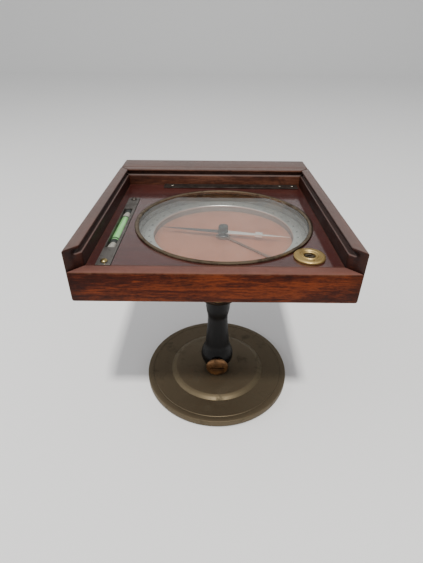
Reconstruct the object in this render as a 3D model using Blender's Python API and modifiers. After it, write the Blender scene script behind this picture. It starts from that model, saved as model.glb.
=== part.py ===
"""Ship compass: a large needle compass let into an open mahogany case, which stands on a turned
column with a ball head and a round metal base.

Units are metres, +Z is up, +X is to the right of the dial and +Y points to the sight bar at the
back. The origin is the centre of the felt under the base.
"""

import math

import bmesh
import bpy
from mathutils import Matrix, Vector

# ---- fits -----------------------------------------------------------------------------------
GAP = 0.0003  # between pieces that touch
EDGE = 0.0006  # small broken edge on wood
SCREW_FIT = 0.0004  # round a screw in its hole

# ---- base and post --------------------------------------------------------------------------
BASE_RADIUS = 0.0766
BASE_RIM_HEIGHT = 0.0085
PLATE_RADIUS = 0.0455  # flat raised middle of the base
PLATE_SLOPE = 0.0050  # how far its sloping edge reaches out
PLATE_RISE = 0.0030
FELT_THICKNESS = 0.0010
FELT_MARGIN = 0.0030
POST_RADIUS = 0.0070
POST_HEIGHT = 0.0440
STUD_RADIUS = 0.0035
NUT_RADIUS = 0.0075
NUT_HEIGHT = 0.0042

# ---- column ---------------------------------------------------------------------------------
COLUMN_HEIGHT = 0.0877
COLUMN_TOP_RADIUS = 0.0126
COLUMN_NECK_RADIUS = 0.0103
COLUMN_BULB_RADIUS = 0.0172
COLUMN_FOOT_RADIUS = 0.0116
FOOT_RING_RADIUS = 0.0124
FOOT_RING_THICKNESS = 0.0012
CLAMP_HEAD_RADIUS = 0.0116
CLAMP_HEAD_THICKNESS = 0.0032
CLAMP_SCREW_RADIUS = 0.0030
BUSH_WALL = 0.0014

# ---- ball head ------------------------------------------------------------------------------
BALL_RADIUS = 0.0150
CUP_RADIUS = 0.0203
CUP_TENON_RADIUS = 0.0060
CUP_TENON_LENGTH = 0.0130
CUP_FLOOR = 0.0034  # metal under the lowest point of the seat
THREAD_RADIUS = 0.0185
THREAD_LENGTH = 0.0095
COLLAR_RADIUS = 0.0215
COLLAR_LIP_HEIGHT = 0.0080  # above the ball's centre
STEM_RADIUS = 0.0055
STEM_FOOT_RADIUS = 0.0080
STEM_REACH = 0.0391  # from the ball's centre to the flange
STEM_TENON_RADIUS = 0.0040
FLANGE_RADIUS = 0.0250
FLANGE_THICKNESS = 0.0047
FLANGE_SCREW_CIRCLE = 0.0180
FLANGE_SCREW_RADIUS = 0.0018
FLANGE_SCREW_LENGTH = 0.0042  # in the wood

# ---- case -----------------------------------------------------------------------------------
CASE_WIDTH = 0.2000
CASE_DEPTH = 0.1918
CASE_HEIGHT = 0.0395
CASE_CENTRE_X = -0.0045  # the head is screwed on a little to the right of the middle
CASE_WALL = 0.0101
FRONT_WALL_DROP = 0.0155  # the front is lower, where the sliding lid went in
BOTTOM_THICKNESS = 0.0055
LID_LIP = 0.0024  # wood above the lid groove
LID_GROOVE_HEIGHT = 0.0034
LID_GROOVE_DEPTH = 0.0051
DECK_DROP = 0.0160
DECK_THICKNESS = 0.0035
LEDGER_WIDTH = 0.0056

# ---- compass, from the dial's centre; drops are below the case's top -------------------------
DIAL_X = 0.0075  # from the case's middle line
DIAL_Y = 0.0868  # from the case's front
BOWL_RADIUS = 0.0737
BOWL_WALL = 0.0021
BOWL_FLOOR = 0.0016
REBATE_DEPTH = 0.0013  # step that the glass lies on
GLASS_DROP = 0.0155
GLASS_THICKNESS = 0.0020
BEZEL_WIDTH = 0.0033
BEZEL_OVERHANG = 0.0014
BEZEL_HEIGHT = 0.0015
CHAPTER_DROP = 0.0252
CHAPTER_WIDTH = 0.0113
CHAPTER_THICKNESS = 0.0013
CARD_DROP = 0.0310
CARD_THICKNESS = 0.0008
CARD_HOLE_RADIUS = 0.0046
NEEDLE_DROP = 0.0256
NEEDLE_THICKNESS = 0.0005
NEEDLE_SHORT_OF_RING = 0.0030
NEEDLE_HALF_WIDTH = 0.0032
NEEDLE_HEADING = math.radians(-10.0)
CAP_RADIUS = 0.0043
CAP_TOP_DROP = 0.0192
CAP_SKIRT_RADIUS = 0.0022
CAP_BORE_RADIUS = 0.0016
PIN_RADIUS = 0.0011
PIN_BASE_RADIUS = 0.0030
WEIGHT_PLACE = 0.0310  # along the needle from its cap
WEIGHT_LENGTH = 0.0060

# ---- needle arrest --------------------------------------------------------------------------
KNOB_X = 0.0680
KNOB_Y = 0.0241
ROSETTE_RADIUS = 0.0114
ROSETTE_THICKNESS = 0.0021
KNOB_HEAD_RADIUS = 0.0037
KNOB_HEAD_HEIGHT = 0.0014
KNOB_STEM_RADIUS = 0.0026
CAM_RADIUS = 0.0042
CAM_HEIGHT = 0.0024
CAM_SLOPE = 0.12
FULCRUM_PAST_RING = 0.0040  # from the chapter ring's inner edge to the lever's pivot
LEVER_THICKNESS = 0.0008
LEVER_HALF_WIDTH = 0.0012
LEVER_SHORT_OF_KNOB = 0.0022
LEVER_ABOVE_CARD = 0.00055
FULCRUM_ROD_RADIUS = 0.0006
FULCRUM_HALF_LENGTH = 0.0068
BEARING_SIZE = Vector((0.0030, 0.0026, 0.0034))
SLEEVE_FLANGE_RADIUS = 0.0044
SLEEVE_FLANGE_HEIGHT = 0.0011
SLEEVE_RADIUS = 0.0029

# ---- level ----------------------------------------------------------------------------------
LEVEL_FROM_WALL = 0.0122  # middle of the bar, from the left wall's inner face
LEVEL_WIDTH = 0.0106
LEVEL_LENGTH = 0.1293
LEVEL_HEIGHT = 0.0095
LEVEL_PROUD = 0.0006  # above the deck
VIAL_OFFSET_X = -0.0009
VIAL_RADIUS = 0.0031
VIAL_LENGTH = 0.0445
VIAL_START = 0.0418  # from the bar's front end
VIAL_CAP_LENGTH = 0.0142
TROUGH_END = 0.0015  # free length beyond each vial cap
TROUGH_HALF_WIDTH = 0.0034
LEVEL_SCREW_INSET = 0.0045
LEVEL_SCREW_RADIUS = 0.0013

# ---- slotted bar at the back of the deck ----------------------------------------------------
CROSS_BAR_X = 0.0170
CROSS_BAR_LENGTH = 0.1400
CROSS_BAR_WIDTH = 0.0107
CROSS_BAR_THICKNESS = 0.0009
CROSS_SLOT_LENGTH = 0.0780
CROSS_SLOT_WIDTH = 0.0018
CROSS_SCREW_PLACES = (-0.0610, 0.0515, 0.0645)

# ---- sight bar ------------------------------------------------------------------------------
SIGHT_LENGTH = 0.1990
SIGHT_DEPTH = 0.0270
SIGHT_WALL = 0.0060
SIGHT_PIVOT_DROP = 0.0250
SIGHT_BOLT_RADIUS = 0.0030
SIGHT_NUT_RADIUS = 0.0050
SIGHT_PLATE = 0.0010
SIGHT_PLATE_INSET = 0.0015
EYE_SLIT = 0.0010
WINDOW_WIDTH = 0.0085
HAIR_RADIUS = 0.0002

# ---- heights and places that follow from the sizes above -------------------------------------
PLATE_TOP = BASE_RIM_HEIGHT + PLATE_RISE
COLUMN_BOTTOM = PLATE_TOP + GAP + FOOT_RING_THICKNESS + GAP
COLUMN_TOP = COLUMN_BOTTOM + COLUMN_HEIGHT
CUP_BOTTOM = COLUMN_TOP + GAP
SEAT_RADIUS = BALL_RADIUS + GAP
BALL_Z = CUP_BOTTOM + CUP_FLOOR + SEAT_RADIUS
FLANGE_BOTTOM = BALL_Z + STEM_REACH
FLANGE_TOP = FLANGE_BOTTOM + FLANGE_THICKNESS
CASE_BOTTOM = FLANGE_TOP + GAP
CASE_TOP = CASE_BOTTOM + CASE_HEIGHT
CASE_FRONT = -CASE_DEPTH / 2
FLOOR_DROP = CASE_HEIGHT - BOTTOM_THICKNESS
DIAL = Vector((CASE_CENTRE_X + DIAL_X, CASE_FRONT + DIAL_Y, CASE_TOP))
KNOB = Vector((CASE_CENTRE_X + KNOB_X, CASE_FRONT + KNOB_Y, CASE_TOP))
CHAPTER_INNER_RADIUS = BOWL_RADIUS - BOWL_WALL - GAP - CHAPTER_WIDTH
NEEDLE_REACH = CHAPTER_INNER_RADIUS - NEEDLE_SHORT_OF_RING
LEVEL_X = CASE_WALL + LEVEL_FROM_WALL - CASE_WIDTH / 2  # from the case's middle line
FULCRUM_RADIUS = CHAPTER_INNER_RADIUS + FULCRUM_PAST_RING
LEVER_HEADING = math.atan2(KNOB.y - DIAL.y, KNOB.x - DIAL.x)
LEVER_LENGTH = math.hypot(KNOB.x - DIAL.x, KNOB.y - DIAL.y) - LEVER_SHORT_OF_KNOB
LEVER_DROP = CARD_DROP - LEVER_ABOVE_CARD - LEVER_THICKNESS / 2  # middle of its thickness
CLAMP_Z = PLATE_TOP + CLAMP_HEAD_RADIUS + 2 * GAP
SIGHT_FRONT = CASE_FRONT + CASE_DEPTH + GAP

LARGE_STEPS = 72
MEDIUM_STEPS = 40
SMALL_STEPS = 20


# ---- materials ------------------------------------------------------------------------------
def finish(name, colour, roughness, metallic, transmission=0.0):
    """A Principled BSDF material."""
    material = bpy.data.materials.new(name)
    material.use_nodes = True
    shader = material.node_tree.nodes["Principled BSDF"]
    shader.inputs["Base Color"].default_value = (*colour, 1.0)
    shader.inputs["Roughness"].default_value = roughness
    shader.inputs["Metallic"].default_value = metallic
    shader.inputs["Transmission Weight"].default_value = transmission
    return material


FINISHES = {
    "mahogany": ((0.22, 0.07, 0.04), 0.35, 0.0),
    "deck": ((0.27, 0.10, 0.08), 0.25, 0.0),
    "bronze": ((0.23, 0.20, 0.15), 0.40, 0.8),
    "black_lacquer": ((0.02, 0.02, 0.022), 0.22, 0.0),
    "brass": ((0.60, 0.46, 0.20), 0.35, 1.0),
    "dark_brass": ((0.30, 0.24, 0.15), 0.40, 1.0),
    "silvered": ((0.72, 0.72, 0.68), 0.45, 0.4),
    "copper_card": ((0.70, 0.44, 0.34), 0.50, 0.2),
    "steel": ((0.45, 0.46, 0.47), 0.40, 0.9),
    "blued_steel": ((0.30, 0.33, 0.37), 0.30, 0.9),
    "vial_green": ((0.32, 0.70, 0.30), 0.10, 0.0, 0.4),
    "vial_cap": ((0.70, 0.70, 0.66), 0.60, 0.0),
    "glass": ((0.95, 0.97, 0.96), 0.03, 0.0, 0.95),
    "felt": ((0.05, 0.12, 0.07), 0.95, 0.0),
}


# ---- scene and shape helpers ----------------------------------------------------------------
def clear_scene():
    """Remove every object, so that only the compass is in the file."""
    for obj in list(bpy.data.objects):
        bpy.data.objects.remove(obj, do_unlink=True)


def add_collection(name):
    """A collection linked under the scene."""
    group = bpy.data.collections.new(name)
    bpy.context.scene.collection.children.link(group)
    return group


def frame_point(name, place, parent=None):
    """An empty on a joint's axis, at a place in the world."""
    empty = bpy.data.objects.new(name, None)
    empty.empty_display_size = 0.01
    PARTS.objects.link(empty)
    seat(empty, place, parent)
    return empty


def seat(obj, place, parent):
    """Put an object at a place in the world, under a parent that is not turned."""
    obj.parent = parent
    origin = Vector((0, 0, 0))
    while parent is not None:
        origin += parent.location
        parent = parent.parent
    obj.location = Vector(place) - origin


def add_part(name, mesh, material_name, place, parent, turn=0.0):
    """Link a mesh as a part, with its material."""
    obj = bpy.data.objects.new(name, mesh)
    mesh.materials.clear()
    mesh.materials.append(MATERIALS[material_name])
    PARTS.objects.link(obj)
    seat(obj, place, parent)
    obj.rotation_euler.z = turn
    return obj


def box_mesh(name, low, high):
    """A box from its low to its high corner."""
    low, high = Vector(low), Vector(high)
    shape = bmesh.new()
    bmesh.ops.create_cube(shape, size=1.0)
    bmesh.ops.scale(shape, vec=high - low, verts=shape.verts)
    bmesh.ops.translate(shape, vec=(low + high) / 2, verts=shape.verts)
    mesh = bpy.data.meshes.new(name)
    shape.to_mesh(mesh)
    shape.free()
    return mesh


def cylinder_mesh(name, radius, start, end, steps=SMALL_STEPS):
    """A cylinder between two points."""
    start, end = Vector(start), Vector(end)
    axis = end - start
    shape = bmesh.new()
    turn = Vector((0, 0, 1)).rotation_difference(axis.normalized()).to_matrix().to_4x4()
    bmesh.ops.create_cone(
        shape, cap_ends=True, segments=steps, radius1=radius, radius2=radius,
        depth=axis.length, matrix=Matrix.Translation((start + end) / 2) @ turn,
    )
    mesh = bpy.data.meshes.new(name)
    shape.to_mesh(mesh)
    shape.free()
    return mesh


def prism_mesh(name, outline, low, high):
    """An upright prism over an outline of (x, y) points that run anticlockwise."""
    shape = bmesh.new()
    bottom = [shape.verts.new((x, y, low)) for x, y in outline]
    top = [shape.verts.new((x, y, high)) for x, y in outline]
    shape.faces.new(list(reversed(bottom)))
    shape.faces.new(top)
    for index in range(len(outline)):
        following = (index + 1) % len(outline)
        shape.faces.new((bottom[index], bottom[following], top[following], top[index]))
    mesh = bpy.data.meshes.new(name)
    shape.to_mesh(mesh)
    shape.free()
    return mesh


def freeze(obj):
    """Replace an object's mesh by its evaluated shape, and drop its modifiers."""
    bpy.context.view_layer.update()
    evaluated = obj.evaluated_get(bpy.context.evaluated_depsgraph_get())
    mesh = bpy.data.meshes.new_from_object(evaluated)
    obj.modifiers.clear()
    obj.data = mesh
    mesh.name = obj.name


def turned(name, profile, material_name, place, parent, steps=MEDIUM_STEPS, lying=False):
    """A piece turned on a lathe from (radius, height) points.

    The points run down the outer side, from top to bottom. A profile that starts and ends on
    the axis is solid; any other is closed into a ring. A lying piece's axis is -Y.
    """
    solid = profile[0][0] == 0.0
    count = len(profile)
    edges = [(i, i + 1) for i in range(count - 1)]
    if not solid:
        edges.append((count - 1, 0))
    mesh = bpy.data.meshes.new(name)
    mesh.from_pydata([(radius, 0.0, height) for radius, height in profile], edges, [])
    obj = add_part(name, mesh, material_name, place, parent)
    screw = obj.modifiers.new("turn", "SCREW")
    screw.axis = "Z"
    screw.angle = math.tau
    screw.steps = steps
    screw.render_steps = steps
    screw.use_merge_vertices = True
    screw.merge_threshold = 0.00001
    freeze(obj)
    obj.data.shade_smooth()
    obj.data.set_sharp_from_angle(angle=math.radians(35))
    if lying:
        obj.data.transform(Matrix.Rotation(math.pi / 2, 4, "X"))
    return obj


def block(name, low, high, material_name, parent, broken_edge=0.0):
    """A box in world coordinates, with its origin at its parent's and its edges broken."""
    mesh = box_mesh(name, low, high)
    obj = add_part(name, mesh, material_name, (0, 0, 0), parent)
    if broken_edge:
        bevel = obj.modifiers.new("edges", "BEVEL")
        bevel.width = broken_edge
        bevel.segments = 1
        bevel.limit_method = "ANGLE"
    return obj


def combine(obj, meshes, operation, place=(0, 0, 0), turn=0.0):
    """Cut or join meshes to an object. They are in world coordinates, or turned at a place."""
    for mesh in meshes:
        tool = bpy.data.objects.new("tool_" + mesh.name, mesh)
        tool.hide_render = True
        tool.display_type = "WIRE"
        tool.location = place
        tool.rotation_euler.z = turn
        CUTTERS.objects.link(tool)
        boolean = obj.modifiers.new(operation.lower(), "BOOLEAN")
        boolean.operation = operation
        boolean.solver = "EXACT"
        boolean.object = tool


def cut(obj, meshes, place=(0, 0, 0), turn=0.0):
    """Cut meshes out of an object."""
    combine(obj, meshes, "DIFFERENCE", place, turn)


def arc(radius, start, end, pieces, centre=0.0):
    """(radius, height) points on a ball about the axis; angles are from straight down."""
    points = []
    for index in range(pieces + 1):
        angle = start + (end - start) * index / pieces
        across = 0.0 if angle in (0.0, math.pi) else radius * math.sin(angle)
        points.append((across, centre - radius * math.cos(angle)))
    return points


def hex_nut(name, radius, bore, start, end, material_name, parent):
    """A six-sided nut between two points on its axis."""
    nut = add_part(name, cylinder_mesh(name, radius, start, end, 6), material_name, (0, 0, 0), parent)
    past = (Vector(end) - Vector(start)).normalized() * 0.002
    cut(nut, [cylinder_mesh(f"{name}_bore", bore, Vector(start) - past, Vector(end) + past)])


def wood_screw(name, radius, head_radius, head_height, length, material_name, place, parent, down=True):
    """A round-headed screw whose head's flat side is at place."""
    profile = [
        (0.0, head_height),
        (head_radius * 0.6, head_height),
        (head_radius, head_height * 0.35),
        (head_radius, 0.0),
        (radius, 0.0),
        (radius, -length * 0.7),
        (radius * 0.5, -length),
        (0.0, -length),
    ]
    if not down:
        profile = [(across, -height) for across, height in reversed(profile)]
    return turned(name, profile, material_name, place, parent, SMALL_STEPS)


def case_box(name, low, high):
    """A box given as x from the case's middle, y from its front and drop below its top."""
    return box_mesh(name, case_place(low[0], low[1], high[2]), case_place(high[0], high[1], low[2]))


def case_place(x, y, drop):
    """A world place from x off the case's middle, y behind its front, drop below its top."""
    return Vector((CASE_CENTRE_X + x, CASE_FRONT + y, CASE_TOP - drop))


def case_wall(name, outline, top_drop, parent):
    """A mitred wall of the case, with its long top edges broken."""
    corners = [case_place(x, y, 0).xy for x, y in outline]
    mesh = prism_mesh(name, corners, CASE_BOTTOM, CASE_TOP - top_drop)
    wall = add_part(name, mesh, "mahogany", (0, 0, 0), parent)
    weights = mesh.attributes.new("bevel_weight_edge", "FLOAT", "EDGE")
    for edge in mesh.edges:
        ends = [mesh.vertices[index].co for index in edge.vertices]
        along = ends[1] - ends[0]
        on_top = min(ends[0].z, ends[1].z) > CASE_BOTTOM + EDGE
        if on_top and along.length > 2 * CASE_WALL:
            weights.data[edge.index].value = 1.0
    bevel = wall.modifiers.new("edges", "BEVEL")
    bevel.width = EDGE
    bevel.segments = 1
    bevel.limit_method = "WEIGHT"
    return wall


def case_block(name, low, high, material_name, parent, broken_edge=0.0):
    """A block given in the case's own terms, as case_box."""
    low_corner = case_place(low[0], low[1], high[2])
    high_corner = case_place(high[0], high[1], low[2])
    return block(name, low_corner, high_corner, material_name, parent, broken_edge)


# ---- stand ----------------------------------------------------------------------------------
def build_base():
    """The base disc with its felt, and the post that is bolted to it."""
    stud_hole = STUD_RADIUS + SCREW_FIT
    underside = FELT_THICKNESS + GAP
    recess_radius = NUT_RADIUS + 0.0015
    recess_top = underside + NUT_HEIGHT + 2 * GAP
    slope_radius = PLATE_RADIUS + PLATE_SLOPE
    turned("base_disc", [
        (PLATE_RADIUS, PLATE_TOP),
        (slope_radius, BASE_RIM_HEIGHT),
        (BASE_RADIUS - 0.0012, BASE_RIM_HEIGHT),
        (BASE_RADIUS, BASE_RIM_HEIGHT - 0.0012),
        (BASE_RADIUS, underside + 0.0012),
        (BASE_RADIUS - 0.0012, underside),
        (recess_radius, underside),
        (recess_radius, recess_top),
        (stud_hole, recess_top),
        (stud_hole, PLATE_TOP),
    ], "bronze", (0, 0, 0), None, LARGE_STEPS)
    felt_radius = BASE_RADIUS - FELT_MARGIN
    turned("base_felt", [
        (0.0, FELT_THICKNESS), (felt_radius, FELT_THICKNESS), (felt_radius, 0.0), (0.0, 0.0),
    ], "felt", (0, 0, 0), None, LARGE_STEPS)
    shoulder = PLATE_TOP + GAP
    post_top = PLATE_TOP + POST_HEIGHT
    turned("swivel_post", [
        (0.0, post_top),
        (POST_RADIUS - 0.001, post_top),
        (POST_RADIUS, post_top - 0.001),
        (POST_RADIUS, shoulder),
        (STUD_RADIUS, shoulder),
        (STUD_RADIUS, underside + GAP),
        (0.0, underside + GAP),
    ], "steel", (0, 0, 0), None)
    nut_top = recess_top - GAP
    hex_nut("post_nut", NUT_RADIUS, stud_hole, (0, 0, nut_top - NUT_HEIGHT), (0, 0, nut_top), "steel", None)


def build_column(axis):
    """The lacquered column, which swivels on the post, and the ring under it."""
    bore = POST_RADIUS + GAP
    bore_top = PLATE_TOP + POST_HEIGHT + 2 * GAP
    tenon_bore = CUP_TENON_RADIUS + GAP
    tenon_floor = COLUMN_TOP - CUP_TENON_LENGTH - GAP
    outline = (  # share of the height, radius
        (1.00, COLUMN_TOP_RADIUS),
        (0.93, COLUMN_TOP_RADIUS * 0.98),
        (0.85, COLUMN_TOP_RADIUS * 0.93),
        (0.77, COLUMN_NECK_RADIUS * 1.01),
        (0.71, COLUMN_NECK_RADIUS),
        (0.56, COLUMN_NECK_RADIUS * 1.07),
        (0.41, COLUMN_NECK_RADIUS * 1.18),
        (0.33, COLUMN_NECK_RADIUS * 1.27),
        (0.26, COLUMN_BULB_RADIUS * 0.89),
        (0.205, COLUMN_BULB_RADIUS * 0.98),
        (0.16, COLUMN_BULB_RADIUS),
        (0.10, COLUMN_BULB_RADIUS * 0.95),
        (0.047, COLUMN_BULB_RADIUS * 0.83),
        (0.00, COLUMN_FOOT_RADIUS),
    )
    outside = [(radius, COLUMN_BOTTOM + share * COLUMN_HEIGHT) for share, radius in outline]
    column = turned("column", [
        (0.0, tenon_floor), (tenon_bore, tenon_floor), (tenon_bore, COLUMN_TOP),
        *outside,
        (bore, COLUMN_BOTTOM), (bore, bore_top), (0.0, bore_top),
    ], "black_lacquer", (0, 0, 0), axis)
    bush_radius = CLAMP_SCREW_RADIUS + SCREW_FIT + BUSH_WALL
    bush_hole = cylinder_mesh(
        "bush_hole", bush_radius + GAP, (0, -COLUMN_BULB_RADIUS * 1.5, CLAMP_Z), (0, 0, CLAMP_Z))
    cut(column, [bush_hole])
    turned("foot_ring", [
        (FOOT_RING_RADIUS, PLATE_TOP + GAP + FOOT_RING_THICKNESS),
        (FOOT_RING_RADIUS, PLATE_TOP + GAP),
        (bore, PLATE_TOP + GAP),
        (bore, PLATE_TOP + GAP + FOOT_RING_THICKNESS),
    ], "brass", (0, 0, 0), axis)
    turned("clamp_bush", [
        (bush_radius, COLUMN_BULB_RADIUS * 0.92),
        (bush_radius, bore + GAP),
        (CLAMP_SCREW_RADIUS + SCREW_FIT, bore + GAP),
        (CLAMP_SCREW_RADIUS + SCREW_FIT, COLUMN_BULB_RADIUS * 0.92),
    ], "brass", (0, 0, CLAMP_Z), axis, SMALL_STEPS, lying=True)


def build_clamp_screw(axis):
    """The round-headed screw in the column's foot that holds it on the post."""
    head_back = COLUMN_BULB_RADIUS + GAP
    head_front = head_back + CLAMP_HEAD_THICKNESS
    head = turned("clamp_screw", [
        (0.0, head_front),
        (CLAMP_HEAD_RADIUS * 0.55, head_front),
        (CLAMP_HEAD_RADIUS * 0.92, head_front - CLAMP_HEAD_THICKNESS * 0.3),
        (CLAMP_HEAD_RADIUS, head_front - CLAMP_HEAD_THICKNESS * 0.55),
        (CLAMP_HEAD_RADIUS, head_back),
        (CLAMP_SCREW_RADIUS, head_back),
        (CLAMP_SCREW_RADIUS, POST_RADIUS + GAP),
        (0.0, POST_RADIUS + GAP),
    ], "brass", (0, 0, CLAMP_Z), axis, MEDIUM_STEPS, lying=True)
    slot_half = 0.0007
    slot_depth = CLAMP_HEAD_THICKNESS * 0.35
    slot = box_mesh(
        "clamp_slot",
        (-CLAMP_HEAD_RADIUS * 0.6, -head_front - slot_depth, CLAMP_Z - slot_half),
        (CLAMP_HEAD_RADIUS * 0.6, -head_front + slot_depth, CLAMP_Z + slot_half))
    cut(head, [slot])


def build_head(column_axis, collar_axis, ball_axis, case_axis):
    """The ball head: cup, clamping collar, ball, stem and the flange under the case."""
    cup_rim = 0.0010  # below the ball's centre
    rim_angle = math.acos(cup_rim / SEAT_RADIUS)
    thread_bottom = BALL_Z - cup_rim - THREAD_LENGTH
    turned("socket_cup", [
        *arc(SEAT_RADIUS, 0.0, rim_angle, 9, BALL_Z),
        (THREAD_RADIUS, BALL_Z - cup_rim),
        (THREAD_RADIUS, thread_bottom),
        (CUP_RADIUS, thread_bottom),
        (CUP_RADIUS, CUP_BOTTOM + 0.0065),
        (CUP_RADIUS - 0.002, CUP_BOTTOM + 0.0035),
        (COLUMN_TOP_RADIUS + 0.0008, CUP_BOTTOM),
        (CUP_TENON_RADIUS, CUP_BOTTOM),
        (CUP_TENON_RADIUS, CUP_BOTTOM - CUP_TENON_LENGTH),
        (0.0, CUP_BOTTOM - CUP_TENON_LENGTH),
    ], "dark_brass", (0, 0, 0), column_axis)
    collar_bottom = thread_bottom + GAP
    shelf = BALL_Z - cup_rim + GAP
    lip_start = math.acos((BALL_Z - shelf) / SEAT_RADIUS)
    lip_end = math.acos(-(COLLAR_LIP_HEIGHT - 0.0005) / SEAT_RADIUS)
    lip = arc(SEAT_RADIUS, lip_start, lip_end, 5, BALL_Z)
    turned("clamp_collar", [
        (COLLAR_RADIUS - 0.001, BALL_Z + COLLAR_LIP_HEIGHT),
        (COLLAR_RADIUS, BALL_Z + COLLAR_LIP_HEIGHT - 0.0015),
        (COLLAR_RADIUS, collar_bottom + 0.001),
        (COLLAR_RADIUS - 0.0005, collar_bottom),
        (THREAD_RADIUS + GAP, collar_bottom),
        (THREAD_RADIUS + GAP, shelf),
        *lip,
        (lip[-1][0] + 0.0004, BALL_Z + COLLAR_LIP_HEIGHT),
    ], "brass", (0, 0, 0), collar_axis)
    sphere = bmesh.new()
    bmesh.ops.create_uvsphere(sphere, u_segments=MEDIUM_STEPS, v_segments=20, radius=BALL_RADIUS)
    ball_mesh = bpy.data.meshes.new("head_ball")
    sphere.to_mesh(ball_mesh)
    sphere.free()
    ball_mesh.shade_smooth()
    add_part("head_ball", ball_mesh, "brass", (0, 0, BALL_Z), ball_axis)
    foot_angle = math.pi - math.asin(STEM_FOOT_RADIUS / SEAT_RADIUS)
    tenon_top = FLANGE_TOP - 0.0014
    turned("head_stem", [
        (0.0, tenon_top),
        (STEM_TENON_RADIUS, tenon_top),
        (STEM_TENON_RADIUS, FLANGE_BOTTOM - GAP),
        (STEM_RADIUS + 0.0012, FLANGE_BOTTOM - GAP),
        (STEM_RADIUS + 0.0012, FLANGE_BOTTOM - 0.0035),
        (STEM_RADIUS, FLANGE_BOTTOM - 0.0055),
        (STEM_RADIUS, BALL_Z + BALL_RADIUS + 0.0045),
        (STEM_FOOT_RADIUS, BALL_Z + BALL_RADIUS + 0.0015),
        *arc(SEAT_RADIUS, foot_angle, math.pi, 4, BALL_Z),
    ], "brass", (0, 0, 0), case_axis)
    tenon_bore = STEM_TENON_RADIUS + GAP
    flange = turned("head_flange", [
        (0.0, FLANGE_TOP),
        (FLANGE_RADIUS - 0.0008, FLANGE_TOP),
        (FLANGE_RADIUS, FLANGE_TOP - 0.0008),
        (FLANGE_RADIUS, FLANGE_BOTTOM + 0.0014),
        (FLANGE_RADIUS - 0.0025, FLANGE_BOTTOM),
        (tenon_bore, FLANGE_BOTTOM),
        (tenon_bore, tenon_top + GAP),
        (0.0, tenon_top + GAP),
    ], "dark_brass", (0, 0, 0), case_axis)
    cut(flange, flange_screw_holes(FLANGE_BOTTOM - 0.002, FLANGE_TOP + 0.002))
    for number, (x, y) in enumerate(flange_screw_places(), start=1):
        wood_screw(
            f"flange_screw_{number}", FLANGE_SCREW_RADIUS, FLANGE_SCREW_RADIUS * 2, 0.0018,
            FLANGE_THICKNESS + 2 * GAP + FLANGE_SCREW_LENGTH, "brass",
            (x, y, FLANGE_BOTTOM - GAP), case_axis, down=False)


def flange_screw_places():
    """Three places on the flange's screw circle."""
    angles = [math.radians(30 + 120 * index) for index in range(3)]
    return [(FLANGE_SCREW_CIRCLE * math.cos(a), FLANGE_SCREW_CIRCLE * math.sin(a)) for a in angles]


def flange_screw_holes(low, high):
    """Cutters for the flange screws between two heights."""
    radius = FLANGE_SCREW_RADIUS + SCREW_FIT
    return [
        cylinder_mesh(f"flange_hole_{number}", radius, (x, y, low), (x, y, high), 12)
        for number, (x, y) in enumerate(flange_screw_places(), start=1)
    ]


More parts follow.
